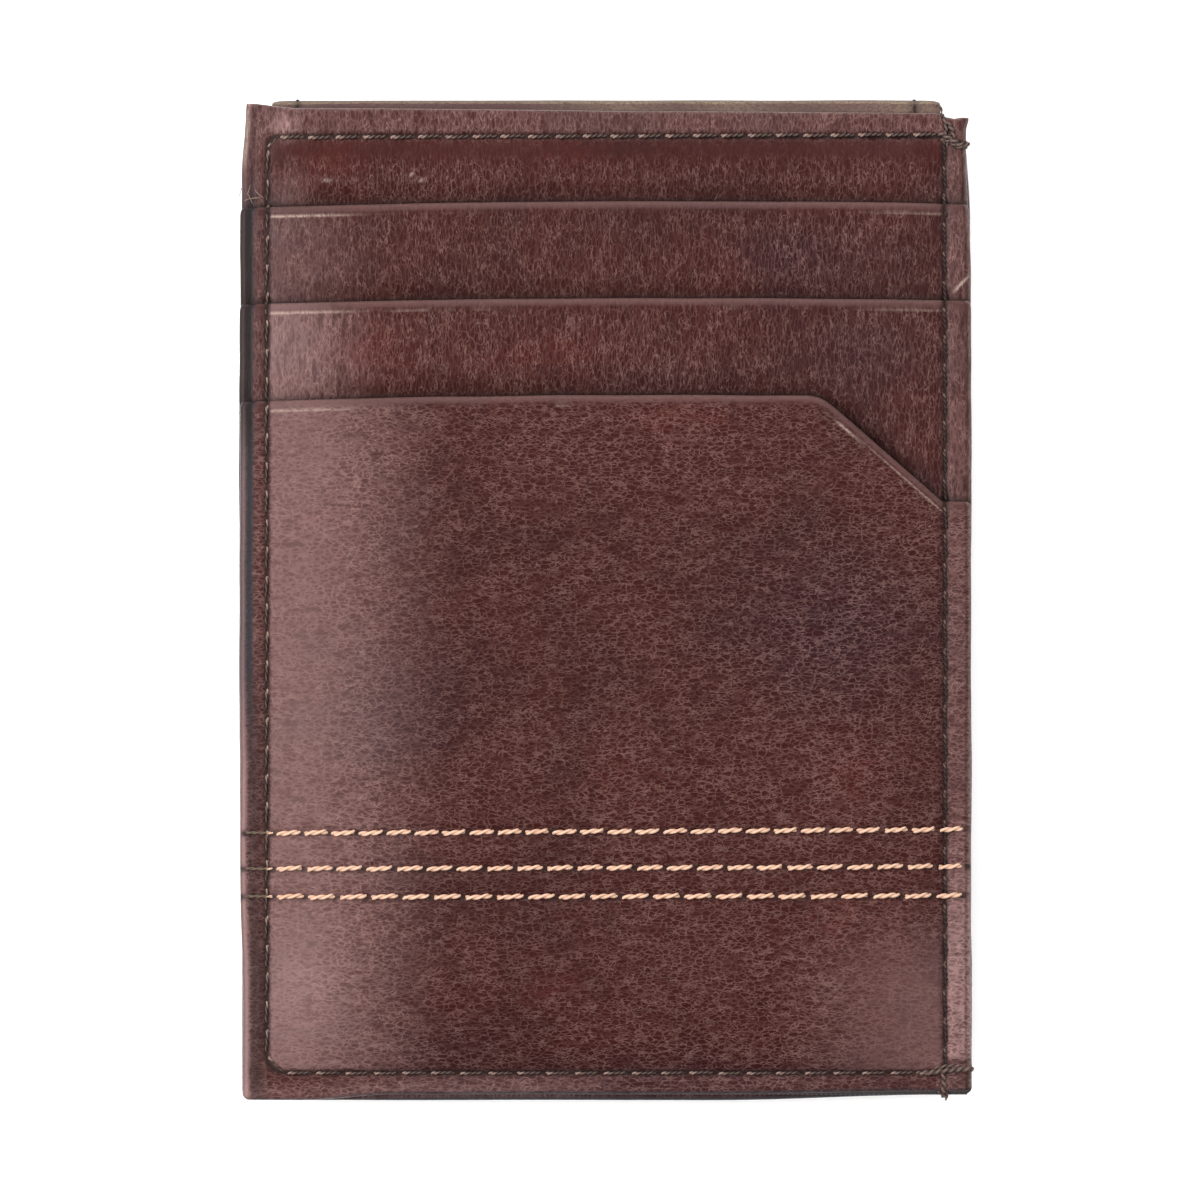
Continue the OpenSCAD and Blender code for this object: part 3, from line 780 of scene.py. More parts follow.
def build_leaf(leaf, name, material):
    """One leather leaf of the front with its turned-in edges, from its outline and height."""
    bottom, mouth = BOTTOM, MOUTH[leaf]
    fine = 0.3 if leaf == 3 else 0.34
    xs = spaced(
        (-HALF_W, 0.25), (-SEAM_X - 0.9, 0.13), (-SEAM_X + 0.9, fine), (SLANT_START - 1.2, 0.2),
        (SLANT_START + 1.2, fine), (SEAM_X - 1.2, 0.13), (SEAM_X + 0.9, 0.25), (HALF_W, 0.25),
    )
    if leaf == 3:
        ys = spaced(
            (bottom, 0.25), (SEAM_BOTTOM - 0.8, 0.14), (SEAM_BOTTOM + 0.8, 0.32),
            (CREAM_Y[2] - 1.2, 0.17), (CREAM_Y[0] + 1.2, 0.32), (mouth - 2.2, 0.13), (mouth, 0.1),
        )
    else:
        hidden = MOUTH[leaf + 1] - (13.5 if leaf == 2 else 2.5)
        visible_seam = (SEAM_TOP - 0.8, 0.13) if leaf == 0 else (mouth - 2.2, 0.13)
        ys = spaced((bottom, 1.6), (hidden, 0.32), visible_seam, (mouth, 0.1))
    grid_x, grid_y = np.meshgrid(with_edges(xs), with_edges(ys), indexing="ij")
    reach = 15.0 if leaf == 3 else 5.0
    rise = np.clip(1 - (mouth - grid_y) / reach, 0, 1)
    fall = np.clip(1 - (grid_y - bottom) / 6.0, 0, 1)
    y = grid_y + (mouth_line(leaf, grid_x) - mouth) * rise
    y = y + (bottom_line(leaf, grid_x) - bottom) * fall
    left = np.clip(1 - (grid_x + HALF_W) / 2.2, 0, 1)
    right = np.clip(1 - (HALF_W - grid_x) / 2.2, 0, 1)
    x = grid_x + (side_line(leaf, y, -1) + HALF_W) * left
    x = x + (side_line(leaf, y, 1) - HALF_W) * right
    thick = LEAF_T[leaf]
    hem_low = LEAF_TOP[leaf] - thick - box_mm(HEMS[leaf])[0][2]
    top_turn = hem_low / 2 if leaf == 0 else hem_low
    turn = turned(x, y, mouth_line(leaf, x), hem_low, top_turn)
    if leaf == 0:
        # Pared thin at the top, where the opened clip passes under it
        turn = turn * (1 - 0.6 * smooth((y - SEAM_TOP) / 0.8))
    thick = thick + turn
    slope = np.gradient(mouth_line(leaf, x[:, -1]), x[:, -1])[:, None]
    to_mouth = (mouth_line(leaf, x) - y) / np.sqrt(1 + slope**2)
    to_bottom = y - bottom_line(leaf, x)
    to_left, to_right = x - side_line(leaf, y, -1), side_line(leaf, y, 1) - x
    edges = ((to_left, 0.50), (to_right, 0.45), (to_mouth, 0.36), (to_bottom, 0.40))
    drop = np.maximum.reduce([rounded_drop(gap, width, thick / 2) for gap, width in edges])
    top = leaf_height(leaf, x, y)
    points, faces, marks = slab(x, y, top - drop, top - thick + drop, leaf_marks(leaf))
    piece = make_piece(name, points, faces, material, marks=marks)
    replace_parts(piece, LEAVES[leaf], HEMS[leaf])


for k, name in enumerate(("front_panel", "rear_pocket", "middle_pocket", "front_pocket")):
    build_leaf(k, name + "_leather", PEBBLE_GRAIN if k == 3 else UPRIGHT_GRAIN)

# ---------------------------------------------------------------- thread


def top_leaf(x, y):
    """Which leaf of the front lies uppermost at a place."""
    leaf = 0 * np.asarray(x, float)
    for k in (1, 2, 3):
        leaf = np.where(y < mouth_line(k, x), k, leaf)
    return leaf


def front_height(x, y):
    """The height of whichever leaf lies uppermost."""
    x, y = np.atleast_1d(np.asarray(x, float)), np.atleast_1d(np.asarray(y, float))
    leaf = top_leaf(x, y)
    heights = np.stack([leaf_height(k, x, y) for k in range(4)])
    return np.take_along_axis(heights, leaf.astype(int)[None], 0)[0]


PLIES, PLY_SIDES, PLY_RINGS = 2, 7, 21


def strand(path, up, radius, turn, phase=0.0):
    """A thread of twisted plies along a path of points.

    Returns its points, its faces and how near the top of the thread each point lies, 0 to 1.
    """
    tangent = np.gradient(path, axis=0)
    tangent /= np.linalg.norm(tangent, axis=1)[:, None]
    side = np.cross(tangent, up)
    side /= np.linalg.norm(side, axis=1)[:, None]
    over = np.cross(side, tangent)
    steps = np.linalg.norm(np.diff(path, axis=0), axis=1)
    along = np.concatenate([[0], np.cumsum(steps)])
    points, faces, crest = [], [], []
    ply_r = radius * 0.58
    turns = np.linspace(0, 2 * math.pi, PLY_SIDES, endpoint=False)
    for ply in range(PLIES):
        angle = 2 * math.pi * (along / turn + ply / PLIES) + phase
        centre = path + (radius - ply_r) * (
            np.cos(angle)[:, None] * side + np.sin(angle)[:, None] * over
        )
        start = len(points) * PLY_SIDES
        for c, s, o, a in zip(centre, side, over, angle):
            points.append([c + ply_r * (math.cos(t) * s + math.sin(t) * o) for t in turns])
            height = (radius - ply_r) * math.sin(a) + ply_r * np.sin(turns)
            crest.append(0.5 + 0.5 * height / radius)
        for k in range(len(path) - 1):
            for m in range(PLY_SIDES):
                a, b = start + k * PLY_SIDES + m, start + k * PLY_SIDES + (m + 1) % PLY_SIDES
                faces.append([a, a + PLY_SIDES, b + PLY_SIDES, b])
        end = start + (len(path) - 1) * PLY_SIDES
        faces.append([start + m for m in range(PLY_SIDES)])
        faces.append([end + m for m in reversed(range(PLY_SIDES))])
    return np.array(points).reshape(-1, 3), faces, np.concatenate(crest)


def join(parts):
    """Many strands as one list of points, faces and crests."""
    points, faces, crests, start = [], [], [], 0
    for p, f, crest in parts:
        points.append(p)
        crests.append(crest)
        faces.extend([[start + k for k in face] for face in f])
        start += len(p)
    return np.concatenate(points), faces, np.concatenate(crests)


def stitch(a, b, surface, up, radius, turn, proud, dive, seed, fade=0.0, painted_highlight_scale=1.0):
    """One stitch from hole a to hole b, lying on a surface given as a height function.

    painted_highlight_scale is how pale its painted top highlight is, and fade how much duller its
    far end is.
    """
    rng = np.random.default_rng(seed)
    s = np.linspace(0, 1, PLY_RINGS)
    ends = np.abs(2 * s - 1)
    xy = np.array(a)[None] * (1 - s)[:, None] + np.array(b)[None] * s[:, None]
    across = np.array([-(b[1] - a[1]), b[0] - a[0]])
    across = across / np.linalg.norm(across)
    xy = xy + across * rng.uniform(-0.05, 0.05) * np.sin(math.pi * s)[:, None]
    base = surface(xy[:, 0], xy[:, 1])
    ground = np.polyval(np.polyfit(s, base, 1), s)
    arch = proud * (1 - ends**3) - dive * smooth((ends - 0.70) / 0.30)
    z = ground + up[2] * (arch + rng.uniform(-0.02, 0.02))
    path = np.column_stack([xy, z])
    points, faces, crest = strand(path, np.array(up, float), radius, turn, rng.uniform(0, 6.28))
    # Painted shade towards the ends, where the thread dives into its hole
    painted_light = (1 - fade * smooth((s - 0.08) / 0.36)) * (1 - 0.6 * smooth((ends - 0.78) / 0.22))
    return points, faces, painted_highlight_scale * crest * np.tile(np.repeat(painted_light, PLY_SIDES), PLIES)


def row(start, end, pitch, share, **how):
    """A row of stitches on a line from start to end."""
    start, end = np.array(start, float), np.array(end, float)
    length = np.linalg.norm(end - start)
    count = max(1, round(length / pitch))
    step = (end - start) / count
    tilt = how.pop("tilt", 0.0)
    normal = np.array([-step[1], step[0]]) / np.linalg.norm(step)
    seed = how.pop("seed")
    for k in range(count):
        middle = start + (k + 0.5) * step
        half = step * share / 2
        yield stitch(
            middle - half - normal * tilt, middle + half + normal * tilt, seed=seed + k, **how
        )


def back_dip(x, y):
    """How far the back panel's outer face is pulled in by its seams."""
    low = smooth((y - SEAM_BOTTOM + 0.8) / 0.8)
    dip = 0.20 * (bell(x + SEAM_X, 0.5) + bell(x - SEAM_X, 0.5)) * low
    foot_seam = bell(y - SEAM_BOTTOM, 0.5) * smooth((SEAM_X + 0.8 - np.abs(x)) / 0.8)
    dip = np.maximum(dip, 0.20 * foot_seam)
    root = smooth((ROOT_X + 0.6 - np.abs(x)) / 0.6)
    for y_row in (ROOT_LOW, ROOT_TOP):
        dip = np.maximum(dip, 0.18 * bell(y - y_row, 0.45) * root)
    between = smooth((y - ROOT_LOW + 0.6) / 0.6) * smooth((ROOT_TOP + 0.6 - y) / 0.6)
    for side in (-1, 1):
        dip = np.maximum(dip, 0.18 * bell(x - side * ROOT_X, 0.45) * between)
    rim = (HALF_W - 0.2 - np.abs(x)) / 1.6
    return dip + 0.03 * noise(x, y, 10, 8, 140) + 0.10 * (1 - smooth(rim)) * smooth(y / 99 + 1)


def back_height(x, y):
    return BACK_LOW[2] + back_dip(x, y)


UP, DOWN = (0, 0, 1), (0, 0, -1)
front_row = partial(row, surface=front_height, up=UP)
back_row = partial(row, surface=back_height, up=DOWN)


(_, ROOT_LOW, _), (ROOT_X, ROOT_TOP, _) = seam_box("strap_root_stitching")
BACK_SEAM_TOP = seam_box("case_stitching_back")[1][1]
(_, CLIP_SEAM_TIP, _), (CLIP_SEAM_X, CLIP_SEAM_TOP, _) = seam_box("clip_stitching_outer")
CLIP_INNER_TOP = seam_box("clip_stitching_inner")[1][1]
MAGNET_LOW, MAGNET_HIGH = box_mm("clip_magnets")
MAGNET_R = (MAGNET_HIGH[1] - MAGNET_LOW[1]) / 2
MAGNET_X = MAGNET_HIGH[0] - MAGNET_R
MAGNET_Y = (MAGNET_LOW[1] + MAGNET_HIGH[1]) / 2

# One brown stitch: its radius, the length of one twist, how far it stands out and dives in,
# and how much duller its far end is
BROWN_SEAM = dict(radius=0.22, turn=1.15, proud=0.15, dive=0.45, fade=0.45)
LEFT_SEAM = dict(BROWN_SEAM, radius=0.18, proud=0.04, turn=1.6)
FOOT_SEAM = dict(BROWN_SEAM, radius=0.20, proud=0.13)
HEAD_SEAM = dict(BROWN_SEAM, radius=0.24, proud=0.18)
RIGHT_SEAM = dict(BROWN_SEAM, proud=-0.02, radius=0.23, fade=0.3, painted_highlight_scale=0.62)
SUNK_SEAM = dict(BROWN_SEAM, proud=0.04)

# Loose fibres beside the left seam: where each starts, and how far it reaches
FIBRES = [
    (-38.0, 41.9, 1.3, 0.35), (-37.4, 43.6, -0.5, -1.6), (-36.9, 43.0, 0.9, -0.9),
    (-37.6, 42.6, 0.4, -1.0), (-36.2, 42.3, -1.2, -0.3), (-38.35, 43.2, -0.25, -1.0),
]


def sewn(name, parts, slot, node, body="body"):
    """The stitches of a CAD row as one piece of thread."""
    points, faces, crest = join(parts)
    soil = 0.9 * smooth((-SEAM_X + 0.3 - points[:, 0]) / 0.4) * (slot == "cream_thread")
    marks = {"crest": crest, "soil": soil}
    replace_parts(make_piece(name, points, faces, THREADS[slot], body, marks), node)


def build_front_seam():
    foot, head = FOOT_TURN, HEAD_TURN
    # The left column, the turns at its ends, and the bottom row
    parts = [
        *front_row((-SEAM_X, SEAM_TOP - head), (-SEAM_X, SEAM_BOTTOM + foot), PITCH, 0.90,
                   seed=1000, tilt=-0.10, **LEFT_SEAM),
        *front_row((-SEAM_X, SEAM_TOP - head), (-SEAM_X + head, SEAM_TOP - 0.12), 1.7, 0.9,
                   seed=1050, **LEFT_SEAM),
        *front_row((-SEAM_X, SEAM_BOTTOM + foot), (-SEAM_X + foot, SEAM_BOTTOM), 2.7, 0.9,
                   seed=1100, **LEFT_SEAM),
        *front_row((-SEAM_X + foot, SEAM_BOTTOM), (SEAM_X, SEAM_BOTTOM), 2.95, 0.90,
                   seed=1200, tilt=0.04, **FOOT_SEAM),
        # The top row, and the right column, whose thread lies deeper
        *front_row((-SEAM_X + head, SEAM_TOP - 0.15), (SEAM_X - 0.6, SEAM_TOP + 0.15), 2.95, 0.94,
                   seed=1300, tilt=0.05, **HEAD_SEAM),
        *front_row((SEAM_X, SEAM_TOP + 0.1), (SEAM_X, SEAM_BOTTOM), PITCH, 0.92,
                   seed=1400, tilt=0.10, **RIGHT_SEAM),
    ]
    for k, (x, y, dx, dy) in enumerate(FIBRES):
        h = front_height(x, y)[0]
        parts.append(tail([
            (x, y, h - 0.05), (x + 0.4 * dx, y + 0.5 * dy, h + 0.08),
            (x + 0.8 * dx, y + 0.75 * dy, h + 0.05), (x + dx, y + dy, h - 0.08),
        ], 0.055, 0.6, 40 + k, 1.0))
    sewn("case_front_thread", parts, "brown_thread", "case_stitching_front")


def build_back_seam():
    parts = []
    for side in (-1, 1):
        x = side * SEAM_X
        parts += back_row((x, BACK_SEAM_TOP), (x, SEAM_BOTTOM), PITCH, 0.86,
                          seed=2000 + 200 * side, **BROWN_SEAM)
    parts += back_row((-SEAM_X, SEAM_BOTTOM), (SEAM_X, SEAM_BOTTOM), 2.95, 0.86, seed=2500,
                      **BROWN_SEAM)
    sewn("case_back_thread", parts, "brown_thread", "case_stitching_back")
    parts = []
    for y_row in (ROOT_LOW, ROOT_TOP):
        parts += back_row((-ROOT_X, y_row), (ROOT_X, y_row), PITCH, 0.86,
                          seed=2600 + int(y_row), **SUNK_SEAM)
    for side in (-1, 1):
        parts += back_row((side * ROOT_X, ROOT_LOW), (side * ROOT_X, ROOT_TOP), 2.9, 0.86,
                          seed=2700 + side, **SUNK_SEAM)
    sewn("strap_root_thread", parts, "brown_thread", "strap_root_stitching")


def build_cream_rows():
    for k, name in enumerate(CREAM_ROWS):
        low, high = CREAM_BOXES[k]
        y0, y1 = cream_line(k, low[0]), cream_line(k, high[0])
        parts = [
            *front_row((low[0], y0), (high[0] - 0.35, y1), CREAM_PITCH[k], 0.88,
                       seed=3000 + 100 * k, tilt=0.12, radius=0.29, turn=2.2, proud=0.20,
                       dive=0.50),
            # The soiled first stitch crosses the margin and runs into the seam
            *front_row((-HALF_W + 0.25, y0 + 0.05), (low[0] + 0.2, y0), 3.2, 0.98,
                       seed=3050 + k, radius=0.17, turn=1.5, proud=0.05, dive=0.3),
        ]
        sewn("cream_thread_" + name, parts, "cream_thread", "cream_stitching_" + name)


def tail(points, radius, turn, seed, painted_highlight_scale=0.62):
    """A loose thread through the given points, as a smooth curve."""
    points = np.array(points, float)
    s = np.linspace(0, 1, 6 * len(points))
    path = []
    for t in s:
        k = min(int(t * (len(points) - 1)), len(points) - 2)
        u = t * (len(points) - 1) - k
        p0, p1 = points[max(k - 1, 0)], points[k]
        p2, p3 = points[k + 1], points[min(k + 2, len(points) - 1)]
        path.append(0.5 * (2 * p1 + (p2 - p0) * u + (2 * p0 - 5 * p1 + 4 * p2 - p3) * u**2
                           + (3 * p1 - p0 - 3 * p2 + p3) * u**3))
    path = np.array(path)
    keep = np.concatenate([[True], np.linalg.norm(np.diff(path, axis=0), axis=1) > 1e-4])
    points, faces, crest = strand(path[keep], np.array([0.13, 0.11, 0.98]), radius, turn, seed)
    return points, faces, painted_highlight_scale * crest


# The doubled thread at the right-hand corners, as cords: radius, twist, and points with their
# height over the leather. At the top, a cord crosses the corner, turns again and is knotted,
# with a loop over the edge.
UPPER_CORDS = [
    (0.34, 1.5, [(35.0, 48.95, -0.3), (35.7, 48.65, 0.12), (36.5, 48.15, 0.22),
                 (37.2, 47.75, 0.20), (37.75, 47.75, 0.0), (38.0, 47.95, -0.5)]),
    (0.26, 1.4, [(35.3, 48.3, -0.3), (36.0, 48.15, 0.10), (36.8, 47.60, 0.16),
                 (37.5, 47.45, 0.10), (37.9, 47.6, -0.4)]),
    (0.30, 1.3, [(35.75, 50.3, -0.4), (36.2, 49.6, 0.15), (36.5, 48.8, 0.25),
                 (36.3, 48.2, 0.10), (35.9, 47.8, -0.2)]),
    (0.24, 1.3, [(35.35, 50.9, -0.6), (35.6, 50.2, 0.05), (35.75, 49.3, 0.12),
                 (35.65, 48.5, -0.2)]),
    (0.15, 1.4, [(35.05, 49.7, -0.5), (35.20, 50.6, -0.1), (35.28, 51.2, -0.1),
                 (35.18, 51.7, -0.3), (34.95, 51.95, -0.7), (34.8, 51.9, -1.1)]),
]
# At the foot, two rope-like turns cross the corner, and one goes down to its cut end
LOWER_CORDS = [
    (0.38, 1.5, [(32.6, -49.75, -0.3), (33.6, -49.70, 0.12), (35.2, -49.50, 0.20),
                 (36.8, -49.35, 0.16), (37.9, -49.30, 0.02), (38.3, -49.3, -0.5)]),
    (0.26, 1.5, [(33.4, -49.45, -0.4), (34.6, -49.15, 0.06), (36.2, -48.95, 0.10),
                 (37.6, -48.95, 0.0), (38.25, -49.0, -0.5)]),
    (0.36, 1.4, [(35.4, -49.2, -0.3), (35.35, -50.0, 0.15), (35.45, -50.9, 0.15),
                 (35.35, -51.6, 0.0), (35.5, -52.2, -0.5)]),
    (0.26, 1.4, [(34.9, -49.6, -0.4), (34.75, -50.4, 0.02), (34.8, -51.2, 0.0),
                 (34.9, -51.8, -0.4)]),
    (0.15, 1.4, [(35.6, -51.4, -0.1), (35.8, -52.0, -0.3), (35.65, -52.55, -0.8)]),
]


def build_tacks():
    """The doubled thread at the corners, lying on the leather there."""
    parts = []
    upper, lower = front_height(36.5, 48.3)[0], front_height(SEAM_X, SEAM_BOTTOM)[0]
    for cords, ground, seed in ((UPPER_CORDS, upper, 0), (LOWER_CORDS, lower, 20)):
        for k, (radius, turn, path) in enumerate(cords):
            points = [(x, y, ground + over) for x, y, over in path]
            parts.append(tail(points, radius, turn, seed + k))
    sewn("corner_tacks_thread", parts, "brown_thread", "seam_back_tacks")


build_front_seam()
build_back_seam()
build_cream_rows()
build_tacks()

# ---------------------------------------------------------------- back and clip


def plate(name, nodes, body, half, y0, y1, tip, low_z, high_z, facing, shape, inset=None):
    """A flat leather piece with rounded lower corners, built by its outer face.

    facing is 1 if its outer face looks up. shape gives how far that face is pushed in at x, y,
    and inset how far the sides come in. Only the body's piece has a rounded top edge, since
    the clip's pieces run on into the bend.
    """
    xs = with_edges(spaced((-half, 0.42), (half, 0.42)))
    ys = with_edges(spaced((y0, 0.42), (y1, 0.42)))
    x, grid_y = np.meshgrid(xs, ys, indexing="ij")
    near = np.clip(tip - (half - np.abs(x)), 0, tip)
    lower = y0 + tip - np.sqrt(np.maximum(tip**2 - near**2 * 0.985, 0))
    if inset:
        lower = lower + 0.45 * smooth((x + 5) / 45) ** 2
    fall = np.clip(1 - (grid_y - y0) / (tip * 2.2), 0, 1)
    y = grid_y + (lower - y0) * fall
    thick = high_z(x, y) - low_z(x, y)
    to_side = half - np.abs(x)
    if inset:
        pull = np.clip(1 - to_side / 2.5, 0, 1) * inset(x, y)
        x = x - np.sign(x) * pull
    slope = near / np.sqrt(np.maximum(tip**2 - near**2 * 0.985, 1e-3))
    to_low = (y - lower) / np.sqrt(1 + np.minimum(slope, 8) ** 2)
    edge = 0.40
    drop = np.maximum(rounded_drop(to_low, edge, 1), rounded_drop(to_side, edge, 1))
    if body == "body":
        drop = np.maximum(drop, rounded_drop(y1 - y, edge, 1))
    drop = drop * thick / 2
    inward = shape(x, y)
    if facing > 0:
        face, other = high_z(x, y) - inward - drop, low_z(x, y) + drop
    else:
        face, other = low_z(x, y) + inward + drop, high_z(x, y) - drop
    points, faces, values = slab(x, y, face, other, plain_marks(shape))
    piece = make_piece(name, points, faces, BACK_GRAIN, body, values)
    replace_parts(piece, *nodes)
    return piece


def plain_marks(seams):
    """Marks for a piece that shows little wear: dark seams and a few patches of wear."""

    def marks(x, y):
        # Seams darkened with dirt and painted shade
        grime = np.clip(seams(x, y) * 2.4, 0, 0.7)
        spots = [(-14, 20, 14, 9, 0.5), (18, -22, 12, 14, 0.5), (6, 2, 20, 8, 0.3)]
        rub = smooth(noise(x, y, 13, 17, 201) - 0.1) * 0.10
        return {
            "red": clouds(x, y, spots), "purple": clouds(-x, y, spots), "worn": rub,
            "edge": 0 * x, "grime": grime, "taut": 0.25 + 0 * x, "polish": 0.4 + 0 * x,
        }

    return marks


def flat_at(z):
    return lambda x, y: z + 0 * x


BACK_HEM_TOP = box_mm("back_panel_hem")[1][2]


def back_inside(x, y):
    """The back panel's inner face, with its edges turned in at the sides and the bottom."""
    deep = BACK_HEM_TOP - BACK_HIGH[2]
    return BACK_HIGH[2] + turned(x, y, 999.0, deep, 0.0) * smooth((49.2 - y) / 0.5)


def back_inset(x, y):
    return 0.5 * smooth((y - 40) / 10)


plate("back_panel_leather", ["back_panel", "back_panel_hem"], "body", BACK_HIGH[0] - 0.15,
      BACK_LOW[1] + 0.02, BACK_HIGH[1], 1.0, flat_at(BACK_LOW[2]), back_inside, -1, back_dip,
      inset=back_inset)


def clip_seams(x, y, top):
    side_rows = bell(x + CLIP_SEAM_X, 0.45) + bell(x - CLIP_SEAM_X, 0.45)
    side_rows = side_rows * smooth((y - CLIP_SEAM_TIP - 1.2) / 0.8) * smooth((top + 0.6 - y) / 0.6)
    tip_row = bell(y - CLIP_SEAM_TIP, 0.45) * smooth((CLIP_SEAM_X - 1.4 - np.abs(x)) / 0.8)
    return np.maximum(side_rows, tip_row)


def magnet_rings(x, y):
    """1 on the rings where the leather is pressed down round the magnets."""
    far = np.minimum(np.hypot(x - MAGNET_X, y - MAGNET_Y), np.hypot(x + MAGNET_X, y - MAGNET_Y))
    return bell(far - MAGNET_R - 0.5, 0.6)


def clip_outer_shape(x, y):
    pressed = 0.17 * clip_seams(x, y, CLIP_SEAM_TOP) + 0.07 * magnet_rings(x, y)
    return pressed + 0.02 * noise(x, y, 9, 8, 151)


def clip_inner_shape(x, y):
    pressed = 0.17 * clip_seams(x, y, CLIP_INNER_TOP) + 0.06 * magnet_rings(x, y)
    return pressed + 0.02 * noise(x, y, 9, 8, 152)


# The faces of the clip's inner ply, and where and how far it comes down to meet the bend
INNER_Z = (1.5, 2.2)
RAMP_START, RAMP_END, RAMP_DROP = 46.45, 49.45, 0.8


def ramp(y):
    return RAMP_DROP * np.clip((y - RAMP_START) / (RAMP_END - RAMP_START), 0, 1)


plate("clip_outer_leather", ["clip_outer_ply"], "clip", CLIP_HALF, OUTER_LOW[1], CLIP_END, 5.0,
      flat_at(OUTER_LOW[2]), flat_at(OUTER_HIGH[2]), -1, clip_outer_shape)
plate("clip_inner_leather", ["clip_inner_ply"], "clip", CLIP_HALF, INNER_LOW[1], CLIP_END, 5.0,
      lambda x, y: INNER_Z[0] - ramp(y), lambda x, y: INNER_Z[1] - ramp(y), 1, clip_inner_shape)


def build_clip_thread():
    tip = 2.0
    outer = dict(BROWN_SEAM, radius=0.20, proud=0.0, up=DOWN,
                 surface=lambda x, y: OUTER_LOW[2] + clip_outer_shape(x, y))
    inner = dict(BROWN_SEAM, up=UP,
                 surface=lambda x, y: INNER_HIGH[2] - ramp(y) - clip_inner_shape(x, y))
    for name, how, top in (("outer", outer, CLIP_SEAM_TOP), ("inner", inner, CLIP_INNER_TOP)):
        parts = []
        for side in (-1, 1):
            x = side * CLIP_SEAM_X
            parts += row((x, top), (x, CLIP_SEAM_TIP + tip), PITCH, 0.86, seed=4000 + side, **how)
        end = CLIP_SEAM_X - tip
        parts += row((-end, CLIP_SEAM_TIP), (end, CLIP_SEAM_TIP), PITCH, 0.86, seed=4100, **how)
        sewn(f"clip_{name}_thread", parts, "brown_thread", "clip_stitching_" + name, "clip")


build_clip_thread()


def blend_over_bend(piece):
    """Bakes the piece's place into its points; the piece rides on no body and does not turn with
    the clip.
    """
    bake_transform(piece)


def build_fold(name, node, r_in, r_out, seed):
    """One ply of the bend that joins the clip to the body: a half tube along the top edge."""
    half = box_mm(node)[1][0]
    us = with_edges(spaced((-half, 0.5), (half, 0.5)))
    angles = np.linspace(0, math.pi, 49)
    middle = (r_in + r_out) / 2
    points, index = [], {}
    for k, u in enumerate(us):
        end = rounded_drop(half - abs(u), 1.5, 1) * 0.95
        wave = 0.05 * noise(np.array([u]), np.array([0.0]), 8, 1, seed)[0]
        for m, a in enumerate(angles):
            bulge = wave * math.sin(a)
            outer = r_out + bulge - (r_out - middle) * end
            inner = r_in + bulge * 0.5 + (middle - r_in) * end
            for layer, r in enumerate((outer, inner)):
                index[k, m, layer] = len(points)
                points.append((u, AXIS_Y + r * math.sin(a), AXIS_Z + r * math.cos(a)))
    faces = []
    last_k, last_m = len(us) - 1, len(angles) - 1
    for k in range(last_k):
        for m in range(last_m):
            for layer in (0, 1):
                quad = [index[k, m, layer], index[k, m + 1, layer],
                        index[k + 1, m + 1, layer], index[k + 1, m, layer]]
                faces.append(quad[::-1] if layer else quad)
        for m in (0, last_m):
            ring = [index[k, m, 0], index[k + 1, m, 0], index[k + 1, m, 1], index[k, m, 1]]
            faces.append(ring[::-1] if m else ring)
    for m in range(last_m):
        for k in (0, last_k):
            ring = [index[k, m, 0], index[k, m, 1], index[k, m + 1, 1], index[k, m + 1, 0]]
            faces.append(ring[::-1] if k else ring)
    points = np.array(points)
    x, z = points[:, 0], points[:, 2]
    # The upper side is taut, with a painted tan highlight along its top and painted purple shade
    # in streaks low down, and the under side is plain
    crest = smooth((z - AXIS_Z) / 1.6) if name.startswith("clip_fold_outer") else 0 * z
    near = (points[:, 1] - AXIS_Y) / r_out
    streaks = smooth((0.83 - near + 0.05 * noise(x, 0 * x, 5, 1, 9)) / 0.05)
    tan = 0.42 + 0.10 * noise(x, 0 * x, 6, 1, 7) - 0.34 * streaks
    above = smooth((z - AXIS_Z + 0.6) / 0.8)
    piece = make_piece(name, points, faces, FOLD_GRAIN, None, {
        "red": 0 * x, "purple": streaks * above, "worn": crest * tan, "edge": 0 * x,
        "grime": 0.6 * np.maximum(bell(x + CLIP_SEAM_X, 0.5), bell(x - CLIP_SEAM_X, 0.5)),
        "taut": 0.25 + 0.75 * above, "polish": 0.4 * (1 - above) + 0.55 * streaks * above,
    })
    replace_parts(piece, node)
    blend_over_bend(piece)


R_OUT = box_mm("clip_fold_outer_ply")[1][1] - AXIS_Y
R_MID = box_mm("clip_fold_inner_ply")[1][1] - AXIS_Y
build_fold("clip_fold_outer_leather", "clip_fold_outer_ply", R_MID + 0.01, R_OUT, 5)
build_fold("clip_fold_inner_leather", "clip_fold_inner_ply", 2 * R_MID - R_OUT, R_MID - 0.01, 6)


def build_fold_thread():
    """The clip's own side seams, where they run over the bend."""
    parts = []
    for side in (-1, 1):
        for first in np.radians((8, 68, 128)):
            a = first + np.linspace(0, np.radians(46), 12)
            ends = np.abs(np.linspace(-1, 1, 12))
            r = R_OUT - 0.06 - 0.28 * smooth((ends - 0.7) / 0.3)
            path = np.column_stack([
                side * CLIP_SEAM_X + 0 * a, AXIS_Y + r * np.sin(a), AXIS_Z + r * np.cos(a),
            ])
            parts.append(strand(path, np.array([1.0, 0.02, 0.01]), 0.2, 1.7, first))
    points, faces, crest = join(parts)
    piece = make_piece("clip_fold_thread", points, faces, BROWN_THREAD, None,
                       {"crest": 0.5 * crest})
    blend_over_bend(piece)


build_fold_thread()

# ---------------------------------------------------------------- linings and hidden pieces


# Each lining, and the piece that it lies on. All but the first follow a leaf of the front.
LININGS = {
    "back_lining": "back_stiffener",
    "front_lining": "front_panel_leather",
    "rear_pocket_lining": "rear_pocket_leather",
    "middle_pocket_lining": "middle_pocket_leather",
    "front_pocket_lining": "front_pocket_leather",
}


